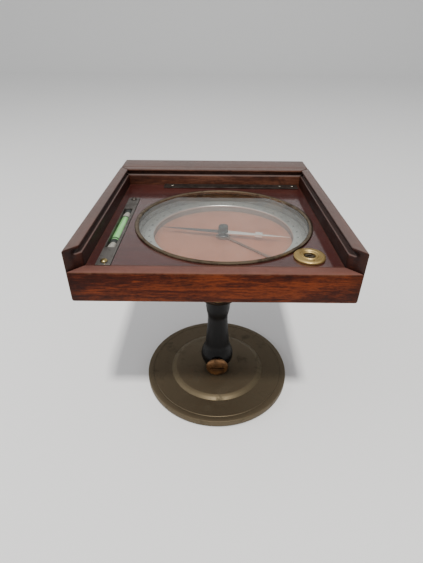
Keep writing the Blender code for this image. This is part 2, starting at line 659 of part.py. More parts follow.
# ---- case -----------------------------------------------------------------------------------
def build_case(axis):
    """The open case: bottom, four walls with lid grooves, deck and the battens under it."""
    half = CASE_WIDTH / 2
    inner = half - CASE_WALL
    inner_front = CASE_WALL + GAP
    inner_back = CASE_DEPTH - CASE_WALL - GAP
    board = inner - GAP
    bottom = case_block(
        "case_bottom", (-board, inner_front, FLOOR_DROP), (board, inner_back, CASE_HEIGHT),
        "mahogany", axis)
    screw_end = CASE_BOTTOM + FLANGE_SCREW_LENGTH + 2 * GAP
    cut(bottom, flange_screw_holes(CASE_BOTTOM - 0.002, screw_end))
    mitre = GAP * math.sqrt(2)  # along the wall, for a gap of GAP across the mitre
    far = CASE_DEPTH - CASE_WALL
    case_wall("case_front", [
        (-half, 0), (half, 0), (inner, CASE_WALL), (-inner, CASE_WALL),
    ], FRONT_WALL_DROP, axis)
    groove_bottom = LID_LIP + LID_GROOVE_HEIGHT
    past = 0.002  # how far cutters reach past a face
    for side, sign in (("left", -1), ("right", 1)):
        outline = [
            (sign * half, mitre), (sign * half, CASE_DEPTH - mitre),
            (sign * inner, far - mitre), (sign * inner, CASE_WALL + mitre),
        ]
        wall = case_wall(f"case_{side}", outline[::sign], 0, axis)
        groove_x = sorted((sign * (inner + LID_GROOVE_DEPTH), sign * (inner - past)))
        groove = case_box(
            f"lid_groove_{side}", (groove_x[0], -past, LID_LIP),
            (groove_x[1], CASE_DEPTH + past, groove_bottom))
        cut(wall, [groove])
    back = case_wall("case_back", [
        (-inner, far), (inner, far), (half, CASE_DEPTH), (-half, CASE_DEPTH),
    ], 0, axis)
    back_groove = case_box(
        "lid_groove_back", (-CASE_WIDTH, far - past, LID_LIP),
        (CASE_WIDTH, far + LID_GROOVE_DEPTH, groove_bottom))
    bolt_hole = cylinder_mesh(
        "sight_bolt_hole", SIGHT_BOLT_RADIUS + SCREW_FIT, case_place(0, far - past, SIGHT_PIVOT_DROP),
        case_place(0, CASE_DEPTH + past, SIGHT_PIVOT_DROP))
    cut(back, [back_groove, bolt_hole])
    deck_bottom = DECK_DROP + DECK_THICKNESS
    for side, sign in (("left", -1), ("right", 1)):
        x_pair = sorted((sign * board, sign * (board - LEDGER_WIDTH)))
        case_block(
            f"deck_batten_{side}", (x_pair[0], inner_front, deck_bottom + GAP),
            (x_pair[1], inner_back, FLOOR_DROP - GAP), "mahogany", axis)
    deck = case_block(
        "deck", (-board, inner_front, DECK_DROP), (board, inner_back, deck_bottom),
        "deck", axis)
    low, high = DECK_DROP - past, deck_bottom + past
    bowl_hole = cylinder_mesh(
        "bowl_hole", BOWL_RADIUS + GAP, (DIAL.x, DIAL.y, CASE_TOP - high),
        (DIAL.x, DIAL.y, CASE_TOP - low), LARGE_STEPS)
    knob_hole = cylinder_mesh(
        "knob_hole", KNOB_STEM_RADIUS + SCREW_FIT, (KNOB.x, KNOB.y, CASE_TOP - high),
        (KNOB.x, KNOB.y, CASE_TOP - low))
    bar_half = LEVEL_WIDTH / 2 + GAP
    bar_slot = case_box(
        "level_slot", (LEVEL_X - bar_half, 0, low),
        (LEVEL_X + bar_half, level_front() + LEVEL_LENGTH + GAP, high))
    screw_holes = [
        cylinder_mesh(
            f"cross_hole_{number}", 0.0012, case_place(x, y, DECK_DROP - past),
            case_place(x, y, DECK_DROP + 0.0026), 12)
        for number, (x, y) in enumerate(cross_screw_places(), start=1)
    ]
    cut(deck, [bowl_hole, knob_hole, bar_slot, *screw_holes])


# ---- compass --------------------------------------------------------------------------------
def build_compass(axis):
    """The bowl with its glass, bezel, rings, card and pivot pin."""
    bowl_top = -(GLASS_DROP + GAP)
    ledge = -(GLASS_DROP + GLASS_THICKNESS + GAP)
    inner = BOWL_RADIUS - BOWL_WALL
    rebate = inner + REBATE_DEPTH
    floor_top = -(CARD_DROP + CARD_THICKNESS + GAP)
    floor_bottom = -(FLOOR_DROP - GAP)
    pin_hole = PIN_RADIUS + 0.0007 + GAP
    bowl = turned("bowl", [
        (BOWL_RADIUS, bowl_top), (BOWL_RADIUS, floor_bottom), (pin_hole, floor_bottom),
        (pin_hole, floor_top), (inner, floor_top), (inner, ledge), (rebate, ledge),
        (rebate, bowl_top),
    ], "dark_brass", DIAL, axis, LARGE_STEPS)
    half = LEVER_HALF_WIDTH + 0.0008
    window = box_mesh(
        "lever_window", (inner - 0.004, -half, -LEVER_DROP - 0.0013),
        (BOWL_RADIUS + 0.004, half, -LEVER_DROP + 0.0013))
    cut(bowl, [window], DIAL, LEVER_HEADING)
    turned("glass", [
        (0.0, -GLASS_DROP), (rebate - GAP, -GLASS_DROP),
        (rebate - GAP, -GLASS_DROP - GLASS_THICKNESS), (0.0, -GLASS_DROP - GLASS_THICKNESS),
    ], "glass", DIAL, axis, LARGE_STEPS)
    bezel_outer = BOWL_RADIUS + BEZEL_OVERHANG
    bezel_inner = bezel_outer - BEZEL_WIDTH
    bezel_bottom = -(GLASS_DROP - GAP)
    bezel_top = -(DECK_DROP - GAP) + BEZEL_HEIGHT
    turned("bezel", [
        (bezel_outer - 0.0006, bezel_top), (bezel_outer, bezel_top - 0.0005),
        (bezel_outer, -(DECK_DROP - GAP)), (BOWL_RADIUS + 0.0005, -(DECK_DROP - GAP)),
        (BOWL_RADIUS + 0.0005, bezel_bottom), (bezel_inner, bezel_bottom),
        (bezel_inner, bezel_bottom + 0.0003), (bezel_inner + 0.0008, bezel_top),
    ], "dark_brass", DIAL, axis, LARGE_STEPS)
    ring_outer = inner - GAP
    chapter_bottom = -(CHAPTER_DROP + CHAPTER_THICKNESS)
    turned("chapter_ring", [
        (ring_outer, -CHAPTER_DROP), (ring_outer, chapter_bottom),
        (CHAPTER_INNER_RADIUS, chapter_bottom), (CHAPTER_INNER_RADIUS, -CHAPTER_DROP),
    ], "silvered", DIAL, axis, LARGE_STEPS)
    spacer = turned("spacer_ring", [
        (ring_outer, chapter_bottom - GAP), (ring_outer, floor_top + GAP),
        (CHAPTER_INNER_RADIUS + GAP, floor_top + GAP),
        (CHAPTER_INNER_RADIUS + GAP, chapter_bottom - GAP),
    ], "black_lacquer", DIAL, axis, LARGE_STEPS)
    lever_room = FULCRUM_HALF_LENGTH + 2 * GAP
    fulcrum_window = box_mesh(
        "fulcrum_window", (CHAPTER_INNER_RADIUS - 0.006, -lever_room, floor_top - 0.002),
        (BOWL_RADIUS, lever_room, -LEVER_DROP + 0.0022))
    cut(spacer, [fulcrum_window], DIAL, LEVER_HEADING)
    turned("card", [
        (CHAPTER_INNER_RADIUS, -CARD_DROP), (CHAPTER_INNER_RADIUS, -CARD_DROP - CARD_THICKNESS),
        (CARD_HOLE_RADIUS, -CARD_DROP - CARD_THICKNESS), (CARD_HOLE_RADIUS, -CARD_DROP),
    ], "copper_card", DIAL, axis, LARGE_STEPS)
    pin_tip = -(CAP_TOP_DROP + 0.0017)
    pin_foot = -CARD_DROP + 0.0001
    turned("pivot_pin", [
        (0.0, pin_tip), (PIN_RADIUS, pin_tip - 0.0026), (PIN_RADIUS, pin_foot),
        (PIN_BASE_RADIUS, pin_foot), (PIN_BASE_RADIUS, floor_top + GAP),
        (PIN_RADIUS + 0.0007, floor_top + GAP), (PIN_RADIUS + 0.0007, floor_bottom + GAP),
        (0.0, floor_bottom + GAP),
    ], "steel", DIAL, axis, SMALL_STEPS)


def build_needle(axis):
    """The needle with its cap and its sliding balance weight."""
    boss = CAP_RADIUS - 0.0001
    boss_angle = math.asin(NEEDLE_HALF_WIDTH * 0.92 / boss)
    tip = 0.0004
    outline = [(-NEEDLE_REACH, tip)]
    top_arc = [
        (boss * math.cos(angle), boss * math.sin(angle))
        for angle in (math.pi - boss_angle - (math.pi - 2 * boss_angle) * step / 8 for step in range(9))
    ]
    outline += top_arc
    outline += [(NEEDLE_REACH, tip), (NEEDLE_REACH, -tip)]
    outline += [(x, -y) for x, y in reversed(top_arc)]
    outline += [(-NEEDLE_REACH, -tip)]
    curve = bpy.data.curves.new("needle_outline", "CURVE")
    curve.dimensions = "2D"
    curve.fill_mode = "BOTH"
    curve.extrude = NEEDLE_THICKNESS / 2
    hole_radius = CAP_SKIRT_RADIUS + GAP
    hole = [
        (hole_radius * math.cos(math.tau * step / 16), hole_radius * math.sin(math.tau * step / 16))
        for step in range(16)
    ]
    for points in (outline, hole):
        spline = curve.splines.new("POLY")
        spline.points.add(len(points) - 1)
        for point, (x, y) in zip(spline.points, points):
            point.co = (x, y, 0, 1)
        spline.use_cyclic_u = True
    draft = bpy.data.objects.new("needle_draft", curve)
    PARTS.objects.link(draft)
    bpy.context.view_layer.update()
    evaluated = draft.evaluated_get(bpy.context.evaluated_depsgraph_get())
    mesh = bpy.data.meshes.new_from_object(evaluated)
    bpy.data.objects.remove(draft, do_unlink=True)
    shape = bmesh.new()
    shape.from_mesh(mesh)
    bmesh.ops.remove_doubles(shape, verts=shape.verts, dist=0.00001)
    bmesh.ops.translate(shape, vec=(0, 0, -NEEDLE_DROP - NEEDLE_THICKNESS / 2), verts=shape.verts)
    shape.to_mesh(mesh)
    shape.free()
    add_part("needle", mesh, "blued_steel", DIAL, axis, NEEDLE_HEADING)
    shoulder = -(NEEDLE_DROP - GAP)
    skirt_bottom = -(NEEDLE_DROP + NEEDLE_THICKNESS + 2 * GAP)
    top = -CAP_TOP_DROP
    turned("needle_cap", [
        (0.0, top), (CAP_RADIUS * 0.6, top), (CAP_RADIUS * 0.85, top - 0.0005),
        (CAP_RADIUS, top - 0.0015), (CAP_RADIUS, shoulder), (CAP_SKIRT_RADIUS, shoulder),
        (CAP_SKIRT_RADIUS, skirt_bottom), (CAP_BORE_RADIUS, skirt_bottom),
        (CAP_BORE_RADIUS, top - 0.0020), (0.0, top - 0.0013),
    ], "blued_steel", DIAL, axis, SMALL_STEPS)
    share = 1 - (WEIGHT_PLACE - WEIGHT_LENGTH / 2) / NEEDLE_REACH
    blade_half = NEEDLE_HALF_WIDTH * share
    clear = GAP + 0.0001
    middle = -NEEDLE_DROP - NEEDLE_THICKNESS / 2
    outer_half = blade_half + clear + 0.0007
    outer_high = NEEDLE_THICKNESS / 2 + clear + 0.0005
    weight_mesh = box_mesh(
        "needle_weight", (WEIGHT_PLACE - WEIGHT_LENGTH / 2, -outer_half, middle - outer_high),
        (WEIGHT_PLACE + WEIGHT_LENGTH / 2, outer_half, middle + outer_high))
    weight = add_part("needle_weight", weight_mesh, "brass", DIAL, axis, NEEDLE_HEADING)
    inner_half, inner_high = blade_half + clear, NEEDLE_THICKNESS / 2 + clear
    passage = box_mesh(
        "weight_passage", (WEIGHT_PLACE - WEIGHT_LENGTH, -inner_half, middle - inner_high),
        (WEIGHT_PLACE + WEIGHT_LENGTH, inner_half, middle + inner_high))
    cut(weight, [passage], DIAL, NEEDLE_HEADING)


# ---- needle arrest --------------------------------------------------------------------------
def build_arrest(case_axis, knob_axis, lever_axis, sleeve_axis):
    """The rosette, the turning knob with its cam, the lever and the sleeve that it lifts."""
    rosette_bottom = -(DECK_DROP - GAP)
    hole = KNOB_HEAD_RADIUS + GAP + 0.0002
    turned("rosette", [
        (ROSETTE_RADIUS - 0.0006, rosette_bottom + ROSETTE_THICKNESS),
        (ROSETTE_RADIUS, rosette_bottom + ROSETTE_THICKNESS - 0.0006),
        (ROSETTE_RADIUS, rosette_bottom), (hole, rosette_bottom),
        (hole, rosette_bottom + ROSETTE_THICKNESS),
    ], "brass", KNOB, case_axis)
    lever_top = -LEVER_DROP + LEVER_THICKNESS / 2
    cam_middle = lever_top + GAP
    head_bottom = rosette_bottom
    knob = turned("arrest_knob", [
        (0.0, head_bottom + KNOB_HEAD_HEIGHT),
        (KNOB_HEAD_RADIUS - 0.0005, head_bottom + KNOB_HEAD_HEIGHT),
        (KNOB_HEAD_RADIUS, head_bottom + KNOB_HEAD_HEIGHT - 0.0005),
        (KNOB_HEAD_RADIUS, head_bottom), (KNOB_STEM_RADIUS, head_bottom),
        (KNOB_STEM_RADIUS, cam_middle + CAM_HEIGHT), (CAM_RADIUS, cam_middle + CAM_HEIGHT),
        (CAM_RADIUS, cam_middle - 0.0010), (0.0, cam_middle - 0.0010),
    ], "brass", KNOB, knob_axis, SMALL_STEPS)
    slope = box_mesh("cam_slope", (-0.02, -0.02, -0.02), (0.02, 0.02, 0.0))
    tilt = Matrix.Rotation(math.atan(CAM_SLOPE), 4, "Y")
    slope.transform(Matrix.Translation((0, 0, cam_middle)) @ tilt)
    low_side = LEVER_HEADING + math.pi - math.pi / 2
    cut(knob, [slope], KNOB, low_side)
    key_slot = box_mesh(
        "key_slot", (-KNOB_HEAD_RADIUS * 2, -0.0005, head_bottom + KNOB_HEAD_HEIGHT * 0.45),
        (KNOB_HEAD_RADIUS * 2, 0.0005, head_bottom + KNOB_HEAD_HEIGHT * 2))
    cut(knob, [key_slot], KNOB, math.radians(25))
    low, high = -LEVER_DROP - LEVER_THICKNESS / 2, -LEVER_DROP + LEVER_THICKNESS / 2
    ring_radius = SLEEVE_FLANGE_RADIUS + 0.0018
    strip = box_mesh(
        "arrest_lever", (ring_radius * 0.8, -LEVER_HALF_WIDTH, low),
        (LEVER_LENGTH, LEVER_HALF_WIDTH, high))
    lever = add_part("arrest_lever", strip, "brass", DIAL, lever_axis, LEVER_HEADING)
    rod = cylinder_mesh(
        "fulcrum_rod", FULCRUM_ROD_RADIUS, (FULCRUM_RADIUS, -FULCRUM_HALF_LENGTH, -LEVER_DROP),
        (FULCRUM_RADIUS, FULCRUM_HALF_LENGTH, -LEVER_DROP), 12)
    ring = cylinder_mesh("lever_ring", ring_radius, (0, 0, low), (0, 0, high))
    combine(lever, [rod, ring], "UNION", DIAL, LEVER_HEADING)
    ring_hole = cylinder_mesh(
        "lever_hole", SLEEVE_FLANGE_RADIUS - 0.0011, (0, 0, low - 0.002), (0, 0, high + 0.002))
    cut(lever, [ring_hole], DIAL, LEVER_HEADING)
    floor_top = -(CARD_DROP + CARD_THICKNESS + GAP)
    for side, sign in (("left", 1), ("right", -1)):
        near = FULCRUM_HALF_LENGTH - BEARING_SIZE.y - GAP / 2
        y_pair = sorted((sign * near, sign * (near + BEARING_SIZE.y)))
        bearing_mesh = box_mesh(
            f"lever_bearing_{side}",
            (FULCRUM_RADIUS - BEARING_SIZE.x / 2, y_pair[0], floor_top + GAP),
            (FULCRUM_RADIUS + BEARING_SIZE.x / 2, y_pair[1], floor_top + GAP + BEARING_SIZE.z))
        bearing = add_part(
            f"lever_bearing_{side}", bearing_mesh, "brass", DIAL, case_axis, LEVER_HEADING)
        bearing_hole = cylinder_mesh(
            f"bearing_hole_{side}", FULCRUM_ROD_RADIUS + GAP,
            (FULCRUM_RADIUS, y_pair[0] - 0.002, -LEVER_DROP),
            (FULCRUM_RADIUS, y_pair[1] + 0.002, -LEVER_DROP), 12)
        cut(bearing, [bearing_hole], DIAL, LEVER_HEADING)
    flange_bottom = lever_top + GAP
    flange_top = flange_bottom + SLEEVE_FLANGE_HEIGHT
    sleeve_top = -(NEEDLE_DROP + NEEDLE_THICKNESS + 3 * GAP)
    bore = PIN_RADIUS + 0.0005
    turned("lift_sleeve", [
        (SLEEVE_RADIUS, sleeve_top), (SLEEVE_RADIUS, flange_top),
        (SLEEVE_FLANGE_RADIUS, flange_top), (SLEEVE_FLANGE_RADIUS, flange_bottom),
        (bore, flange_bottom), (bore, sleeve_top),
    ], "blued_steel", DIAL, sleeve_axis, SMALL_STEPS)
    build_arrest_spring(case_axis)


def build_arrest_spring(axis):
    """The bent leaf on the case's floor that pushes the lever's tail up."""
    thickness = 0.0004
    half_width = 0.0015
    foot = -(FLOOR_DROP - GAP)
    crest = -LEVER_DROP - LEVER_THICKNESS / 2 - 2 * GAP
    start = BOWL_RADIUS + 0.0022
    places = ((start, foot + thickness), (start + 0.0035, foot + thickness), (start + 0.0085, crest))
    shape = bmesh.new()
    corners = []
    for side in (-half_width, half_width):
        upper = [shape.verts.new((along, side, height)) for along, height in places]
        lower = [shape.verts.new((along, side, height - thickness)) for along, height in reversed(places)]
        corners.append(upper + lower)
    first, second = corners
    shape.faces.new(first)
    shape.faces.new(list(reversed(second)))
    count = len(first)
    for index in range(count):
        following = (index + 1) % count
        shape.faces.new((first[following], first[index], second[index], second[following]))
    bmesh.ops.recalc_face_normals(shape, faces=shape.faces)
    mesh = bpy.data.meshes.new("arrest_spring")
    shape.to_mesh(mesh)
    shape.free()
    add_part("arrest_spring", mesh, "brass", DIAL, axis, LEVER_HEADING)


# ---- level and slotted bar ------------------------------------------------------------------
def level_front():
    """Where the level's bar starts, behind the case's front."""
    return CASE_WALL + 2 * GAP


def build_level(axis):
    """The steel bar let into the deck, its green vial, blocks and screws."""
    front = level_front()
    back = front + LEVEL_LENGTH
    top = DECK_DROP - LEVEL_PROUD
    bottom = top + LEVEL_HEIGHT
    half = LEVEL_WIDTH / 2
    bar = case_block("level_bar", (LEVEL_X - half, front, top), (LEVEL_X + half, back, bottom), "steel", axis)
    vial_x = LEVEL_X + VIAL_OFFSET_X
    vial_start = front + VIAL_START
    vial_end = vial_start + VIAL_LENGTH
    trough_start = vial_start - GAP - VIAL_CAP_LENGTH - TROUGH_END
    trough_end = vial_end + GAP + VIAL_CAP_LENGTH + TROUGH_END
    vial_drop = top + VIAL_RADIUS + 0.0008
    trough = case_box(
        "vial_trough", (vial_x - TROUGH_HALF_WIDTH, trough_start, top - 0.002),
        (vial_x + TROUGH_HALF_WIDTH, trough_end, vial_drop + VIAL_RADIUS + GAP))
    screw_places = {
        "level_screw_front": front + LEVEL_SCREW_INSET,
        "level_screw_back": back - LEVEL_SCREW_INSET,
    }
    holes = [
        cylinder_mesh(
            f"{name}_hole", LEVEL_SCREW_RADIUS + GAP, case_place(LEVEL_X, y, bottom + 0.002),
            case_place(LEVEL_X, y, top - 0.002), 12)
        for name, y in screw_places.items()
    ]
    cut(bar, [trough, *holes])
    pieces = (
        ("level_vial", vial_start, vial_end, "vial_green"),
        ("vial_cap_front", vial_start - GAP - VIAL_CAP_LENGTH, vial_start - GAP, "vial_cap"),
        ("vial_cap_back", vial_end + GAP, vial_end + GAP + VIAL_CAP_LENGTH, "vial_cap"),
    )
    for name, start, end, material_name in pieces:
        mesh = cylinder_mesh(
            name, VIAL_RADIUS, case_place(vial_x, start, vial_drop), case_place(vial_x, end, vial_drop))
        mesh.shade_smooth()
        mesh.set_sharp_from_angle(angle=math.radians(35))
        add_part(name, mesh, material_name, (0, 0, 0), axis)
    block_top = bottom + GAP
    block_length = 0.0160
    for name, y, start in (
        ("level_block_front", screw_places["level_screw_front"], front),
        ("level_block_back", screw_places["level_screw_back"], back - block_length),
    ):
        wood = case_block(
            name, (LEVEL_X - half, start, block_top),
            (LEVEL_X + half, start + block_length, FLOOR_DROP - GAP), "mahogany", axis)
        hole = cylinder_mesh(
            f"{name}_hole", LEVEL_SCREW_RADIUS + GAP, case_place(LEVEL_X, y, block_top + 0.005),
            case_place(LEVEL_X, y, block_top - 0.002), 12)
        cut(wood, [hole])
    for name, y in screw_places.items():
        wood_screw(
            name, LEVEL_SCREW_RADIUS, LEVEL_SCREW_RADIUS * 2, 0.0014, LEVEL_HEIGHT + 0.0045, "brass",
            case_place(LEVEL_X, y, top - GAP), axis)


def cross_screw_places():
    """The slotted bar's screws, in the case's own terms."""
    y = CASE_DEPTH - CASE_WALL - 2 * GAP - CROSS_BAR_WIDTH / 2
    return [(CROSS_BAR_X + along, y) for along in CROSS_SCREW_PLACES]


def build_cross_bar(axis):
    """The thin slotted steel bar along the back wall."""
    back = CASE_DEPTH - CASE_WALL - 2 * GAP
    middle = back - CROSS_BAR_WIDTH / 2
    bottom = DECK_DROP - GAP
    top = bottom - CROSS_BAR_THICKNESS
    half = CROSS_BAR_LENGTH / 2
    bar = case_block(
        "cross_bar", (CROSS_BAR_X - half, back - CROSS_BAR_WIDTH, top),
        (CROSS_BAR_X + half, back, bottom), "steel", axis)
    slot = case_box(
        "cross_slot", (CROSS_BAR_X - CROSS_SLOT_LENGTH / 2, middle - CROSS_SLOT_WIDTH / 2, top - 0.002),
        (CROSS_BAR_X + CROSS_SLOT_LENGTH / 2, middle + CROSS_SLOT_WIDTH / 2, bottom + 0.002))
    screw_radius = 0.0008
    holes = [
        cylinder_mesh(
            f"cross_bar_hole_{number}", screw_radius + GAP, case_place(x, y, bottom + 0.002),
            case_place(x, y, top - 0.002), 12)
        for number, (x, y) in enumerate(cross_screw_places(), start=1)
    ]
    cut(bar, [slot, *holes])
    for number, (x, y) in enumerate(cross_screw_places(), start=1):
        wood_screw(
            f"cross_screw_{number}", screw_radius, 0.0019, 0.0008, 0.0033, "steel",
            case_place(x, y, top - GAP), axis)


# ---- sight bar ------------------------------------------------------------------------------
def build_sight(case_axis, axis):
    """The hollow wooden sighting bar, pivoted on the back of the case."""
    half = SIGHT_LENGTH / 2
    y_front = SIGHT_FRONT - CASE_FRONT
    y_back = y_front + SIGHT_DEPTH
    bar = case_block("sight_bar", (-half, y_front, 0), (half, y_back, CASE_HEIGHT), "mahogany", axis, EDGE)
    hollow_low = (y_front + SIGHT_WALL, SIGHT_WALL)
    hollow_high = (y_back - SIGHT_WALL, CASE_HEIGHT - SIGHT_WALL)
    channel = case_box(
        "sight_channel", (-half - 0.005, hollow_low[0], hollow_low[1]),
        (half + 0.005, hollow_high[0], hollow_high[1]))
    bolt_hole = cylinder_mesh(
        "sight_bar_hole", SIGHT_BOLT_RADIUS + SCREW_FIT,
        case_place(0, y_front - 0.004, SIGHT_PIVOT_DROP),
        case_place(0, hollow_low[0] + 0.004, SIGHT_PIVOT_DROP))
    cut(bar, [channel, bolt_hole])
    nut_height = 0.0040
    wall_face = CASE_DEPTH - CASE_WALL - GAP
    head_thickness = 0.0020
    head_seat = hollow_low[0] + GAP
    bolt_end = wall_face - nut_height - 0.0015
    pivot = case_place(0, 0, SIGHT_PIVOT_DROP)
    shaft = [
        (0.0, -bolt_end), (SIGHT_BOLT_RADIUS, -bolt_end), (SIGHT_BOLT_RADIUS, -head_seat),
        (SIGHT_BOLT_RADIUS * 1.8, -head_seat), (SIGHT_BOLT_RADIUS * 1.8, -head_seat - head_thickness),
        (0.0, -head_seat - head_thickness),
    ]
    turned("sight_bolt", shaft, "steel", pivot, axis, SMALL_STEPS, lying=True)
    hex_nut(
        "sight_nut", SIGHT_NUT_RADIUS, SIGHT_BOLT_RADIUS + SCREW_FIT,
        case_place(0, wall_face - nut_height, SIGHT_PIVOT_DROP), case_place(0, wall_face, SIGHT_PIVOT_DROP),
        "brass", axis)
    plate_low = (hollow_low[0] + GAP, hollow_low[1] + GAP)
    plate_high = (hollow_high[0] - GAP, hollow_high[1] - GAP)
    middle_y = (y_front + y_back) / 2
    slit_margin = 0.004
    for name, sign, opening in (("eye_plate", -1, EYE_SLIT), ("window_plate", 1, WINDOW_WIDTH)):
        outer = half - SIGHT_PLATE_INSET
        x_pair = sorted((sign * outer, sign * (outer - SIGHT_PLATE)))
        plate = case_block(
            name, (x_pair[0], plate_low[0], plate_low[1]), (x_pair[1], plate_high[0], plate_high[1]),
            "brass", axis)
        slit = case_box(
            f"{name}_slit", (x_pair[0] - 0.002, middle_y - opening / 2, plate_low[1] + slit_margin),
            (x_pair[1] + 0.002, middle_y + opening / 2, plate_high[1] - slit_margin))
        cut(plate, [slit])
    hair_x = half - SIGHT_PLATE_INSET - SIGHT_PLATE - GAP - HAIR_RADIUS
    hair_mesh = cylinder_mesh(
        "sight_hair", HAIR_RADIUS, case_place(hair_x, middle_y, plate_high[1]),
        case_place(hair_x, middle_y, plate_low[1]), 8)
    add_part("sight_hair", hair_mesh, "steel", (0, 0, 0), axis)


# ---- the whole compass ----------------------------------------------------------------------
clear_scene()
PARTS = add_collection("ship_compass")
CUTTERS = add_collection("cutters")
MATERIALS = {name: finish(name, *values) for name, values in FINISHES.items()}

swivel = frame_point("swivel_axis", (0, 0, COLUMN_BOTTOM))
clamp = frame_point("clamp_axis", (0, 0, CLAMP_Z), swivel)
collar = frame_point("collar_axis", (0, 0, BALL_Z), swivel)
ball = frame_point("ball_axis", (0, 0, BALL_Z), swivel)
case = frame_point("case_axis", (0, 0, BALL_Z), ball)
knob_point = frame_point("knob_axis", KNOB, case)
fulcrum = frame_point("fulcrum_axis", (
    DIAL.x + FULCRUM_RADIUS * math.cos(LEVER_HEADING),
    DIAL.y + FULCRUM_RADIUS * math.sin(LEVER_HEADING), CASE_TOP - LEVER_DROP), case)
sleeve = frame_point("sleeve_axis", DIAL, case)
needle_point = frame_point("needle_axis", DIAL, sleeve)
sight = frame_point("sight_axis", case_place(0, CASE_DEPTH, SIGHT_PIVOT_DROP), case)

build_base()
build_column(swivel)
build_clamp_screw(clamp)
build_head(swivel, collar, ball, case)
build_case(case)
build_compass(case)
build_needle(needle_point)
build_arrest(case, knob_point, fulcrum, sleeve)
build_level(case)
build_cross_bar(case)
build_sight(case, sight)
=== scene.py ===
"""Ship compass: the finished look of the instrument, built over its measured frame.

A large needle compass under glass, let into an open mahogany case with a level, an arrest knob, a
slotted bar and a sighting bar, on a turned black column with a ball head and a round bronze base.
"""

import logging
import math
from contextlib import contextmanager
from dataclasses import dataclass, field
from enum import Enum
from typing import Iterator, Optional, Sequence, Union

import bpy
from mathutils import Matrix, Vector


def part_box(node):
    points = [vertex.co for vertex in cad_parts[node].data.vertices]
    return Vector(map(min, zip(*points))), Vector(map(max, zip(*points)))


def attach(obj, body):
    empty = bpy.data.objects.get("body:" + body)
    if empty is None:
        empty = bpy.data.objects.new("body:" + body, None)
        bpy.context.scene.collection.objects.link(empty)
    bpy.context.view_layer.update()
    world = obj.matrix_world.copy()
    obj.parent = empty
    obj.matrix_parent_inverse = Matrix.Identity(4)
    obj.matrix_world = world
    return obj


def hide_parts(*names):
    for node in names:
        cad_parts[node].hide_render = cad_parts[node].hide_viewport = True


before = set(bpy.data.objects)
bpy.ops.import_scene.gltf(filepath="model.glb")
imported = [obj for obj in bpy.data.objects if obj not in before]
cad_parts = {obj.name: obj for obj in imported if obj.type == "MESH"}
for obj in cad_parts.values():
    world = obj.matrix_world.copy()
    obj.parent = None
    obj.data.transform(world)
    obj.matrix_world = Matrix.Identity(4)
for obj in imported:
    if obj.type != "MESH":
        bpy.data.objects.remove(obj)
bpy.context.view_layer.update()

Point = tuple[float, float]
Triple = tuple[float, float, float]
Number = Union[float, "Wire"]
log = logging.getLogger("ship_compass")

GAP = 0.0003  # between pieces that touch
PAST = 0.004  # how far a cutter goes past a board
THROUGH = 0.002  # how far a drill goes past a plate
BOARD_SOFT = 0.0011  # rounding of a board's edges
BOLT_HOLE = 0.0034  # radius of the hole for the sight bar's bolt
BOARD_ANGLE = 40.0  # edges of boards sharper than this stay sharp, in degrees
PLATE_ANGLE = 25.0  # the same for plates and knurls


class Axis(Enum):
    """A direction in the frame, named by its place in a vector."""

    X = 0
    Y = 1
    Z = 2


class Facing(Enum):
    """Which way the top of a turned piece points."""

    UP = 0.0
    FRONT = 90.0
    BACK = -90.0


# ---- shader writing -------------------------------------------------------------------------
class Wire:
    """An output socket whose arithmetic adds Math nodes."""

    def __init__(self, sheet: "Sheet", socket: bpy.types.NodeSocket) -> None:
        """Wrap a socket.

        Args:
            sheet: The material that the socket belongs to.
            socket: The output socket.
        """
        self.sheet = sheet
        self.socket = socket

    def math(self, operation: str, other: Number = 0.0, swapped: bool = False) -> "Wire":
        """Add a Math node.

        Args:
            operation: The Math node's operation.
            other: The second value.
            swapped: True if the other value comes first.

        Returns:
            The node's output.
        """
        pair = (other, self) if swapped else (self, other)
        values = {0: pair[0], 1: pair[1]}
        return self.sheet.wire("ShaderNodeMath", {"operation": operation}, values)

    def __add__(self, other: Number) -> "Wire":
        """Return self + other."""
        return self.math("ADD", other)

    def __radd__(self, other: Number) -> "Wire":
        """Return other + self."""
        return self.math("ADD", other)

    def __sub__(self, other: Number) -> "Wire":
        """Return self - other."""
        return self.math("SUBTRACT", other)

    def __rsub__(self, other: Number) -> "Wire":
        """Return other - self."""
        return self.math("SUBTRACT", other, swapped=True)

    def __mul__(self, other: Number) -> "Wire":
        """Return self * other."""
        return self.math("MULTIPLY", other)

    def __rmul__(self, other: Number) -> "Wire":
        """Return other * self."""
        return self.math("MULTIPLY", other)

    def __truediv__(self, other: Number) -> "Wire":
        """Return self / other."""
        return self.math("DIVIDE", other)

    def __lt__(self, other: Number) -> "Wire":
        """Return 1 where self < other, else 0."""
        return self.math("LESS_THAN", other)

    def __gt__(self, other: Number) -> "Wire":
        """Return 1 where self > other, else 0."""
        return self.math("GREATER_THAN", other)

    def __abs__(self) -> "Wire":
        """Return the size of self."""
        return self.math("ABSOLUTE")

    def least(self, other: Number) -> "Wire":
        """Return the smaller of self and other."""
        return self.math("MINIMUM", other)

    def most(self, other: Number) -> "Wire":
        """Return the larger of self and other."""
        return self.math("MAXIMUM", other)

    def between(self, low: float, high: float) -> "Wire":
        """Return a smooth step.

        Args:
            low: Where the step is 0.
            high: Where the step is 1.

        Returns:
            A value from 0 to 1.
        """
        values = {"Value": self, "From Min": low, "From Max": high}
        return self.sheet.wire("ShaderNodeMapRange", {"interpolation_type": "SMOOTHSTEP"}, values)


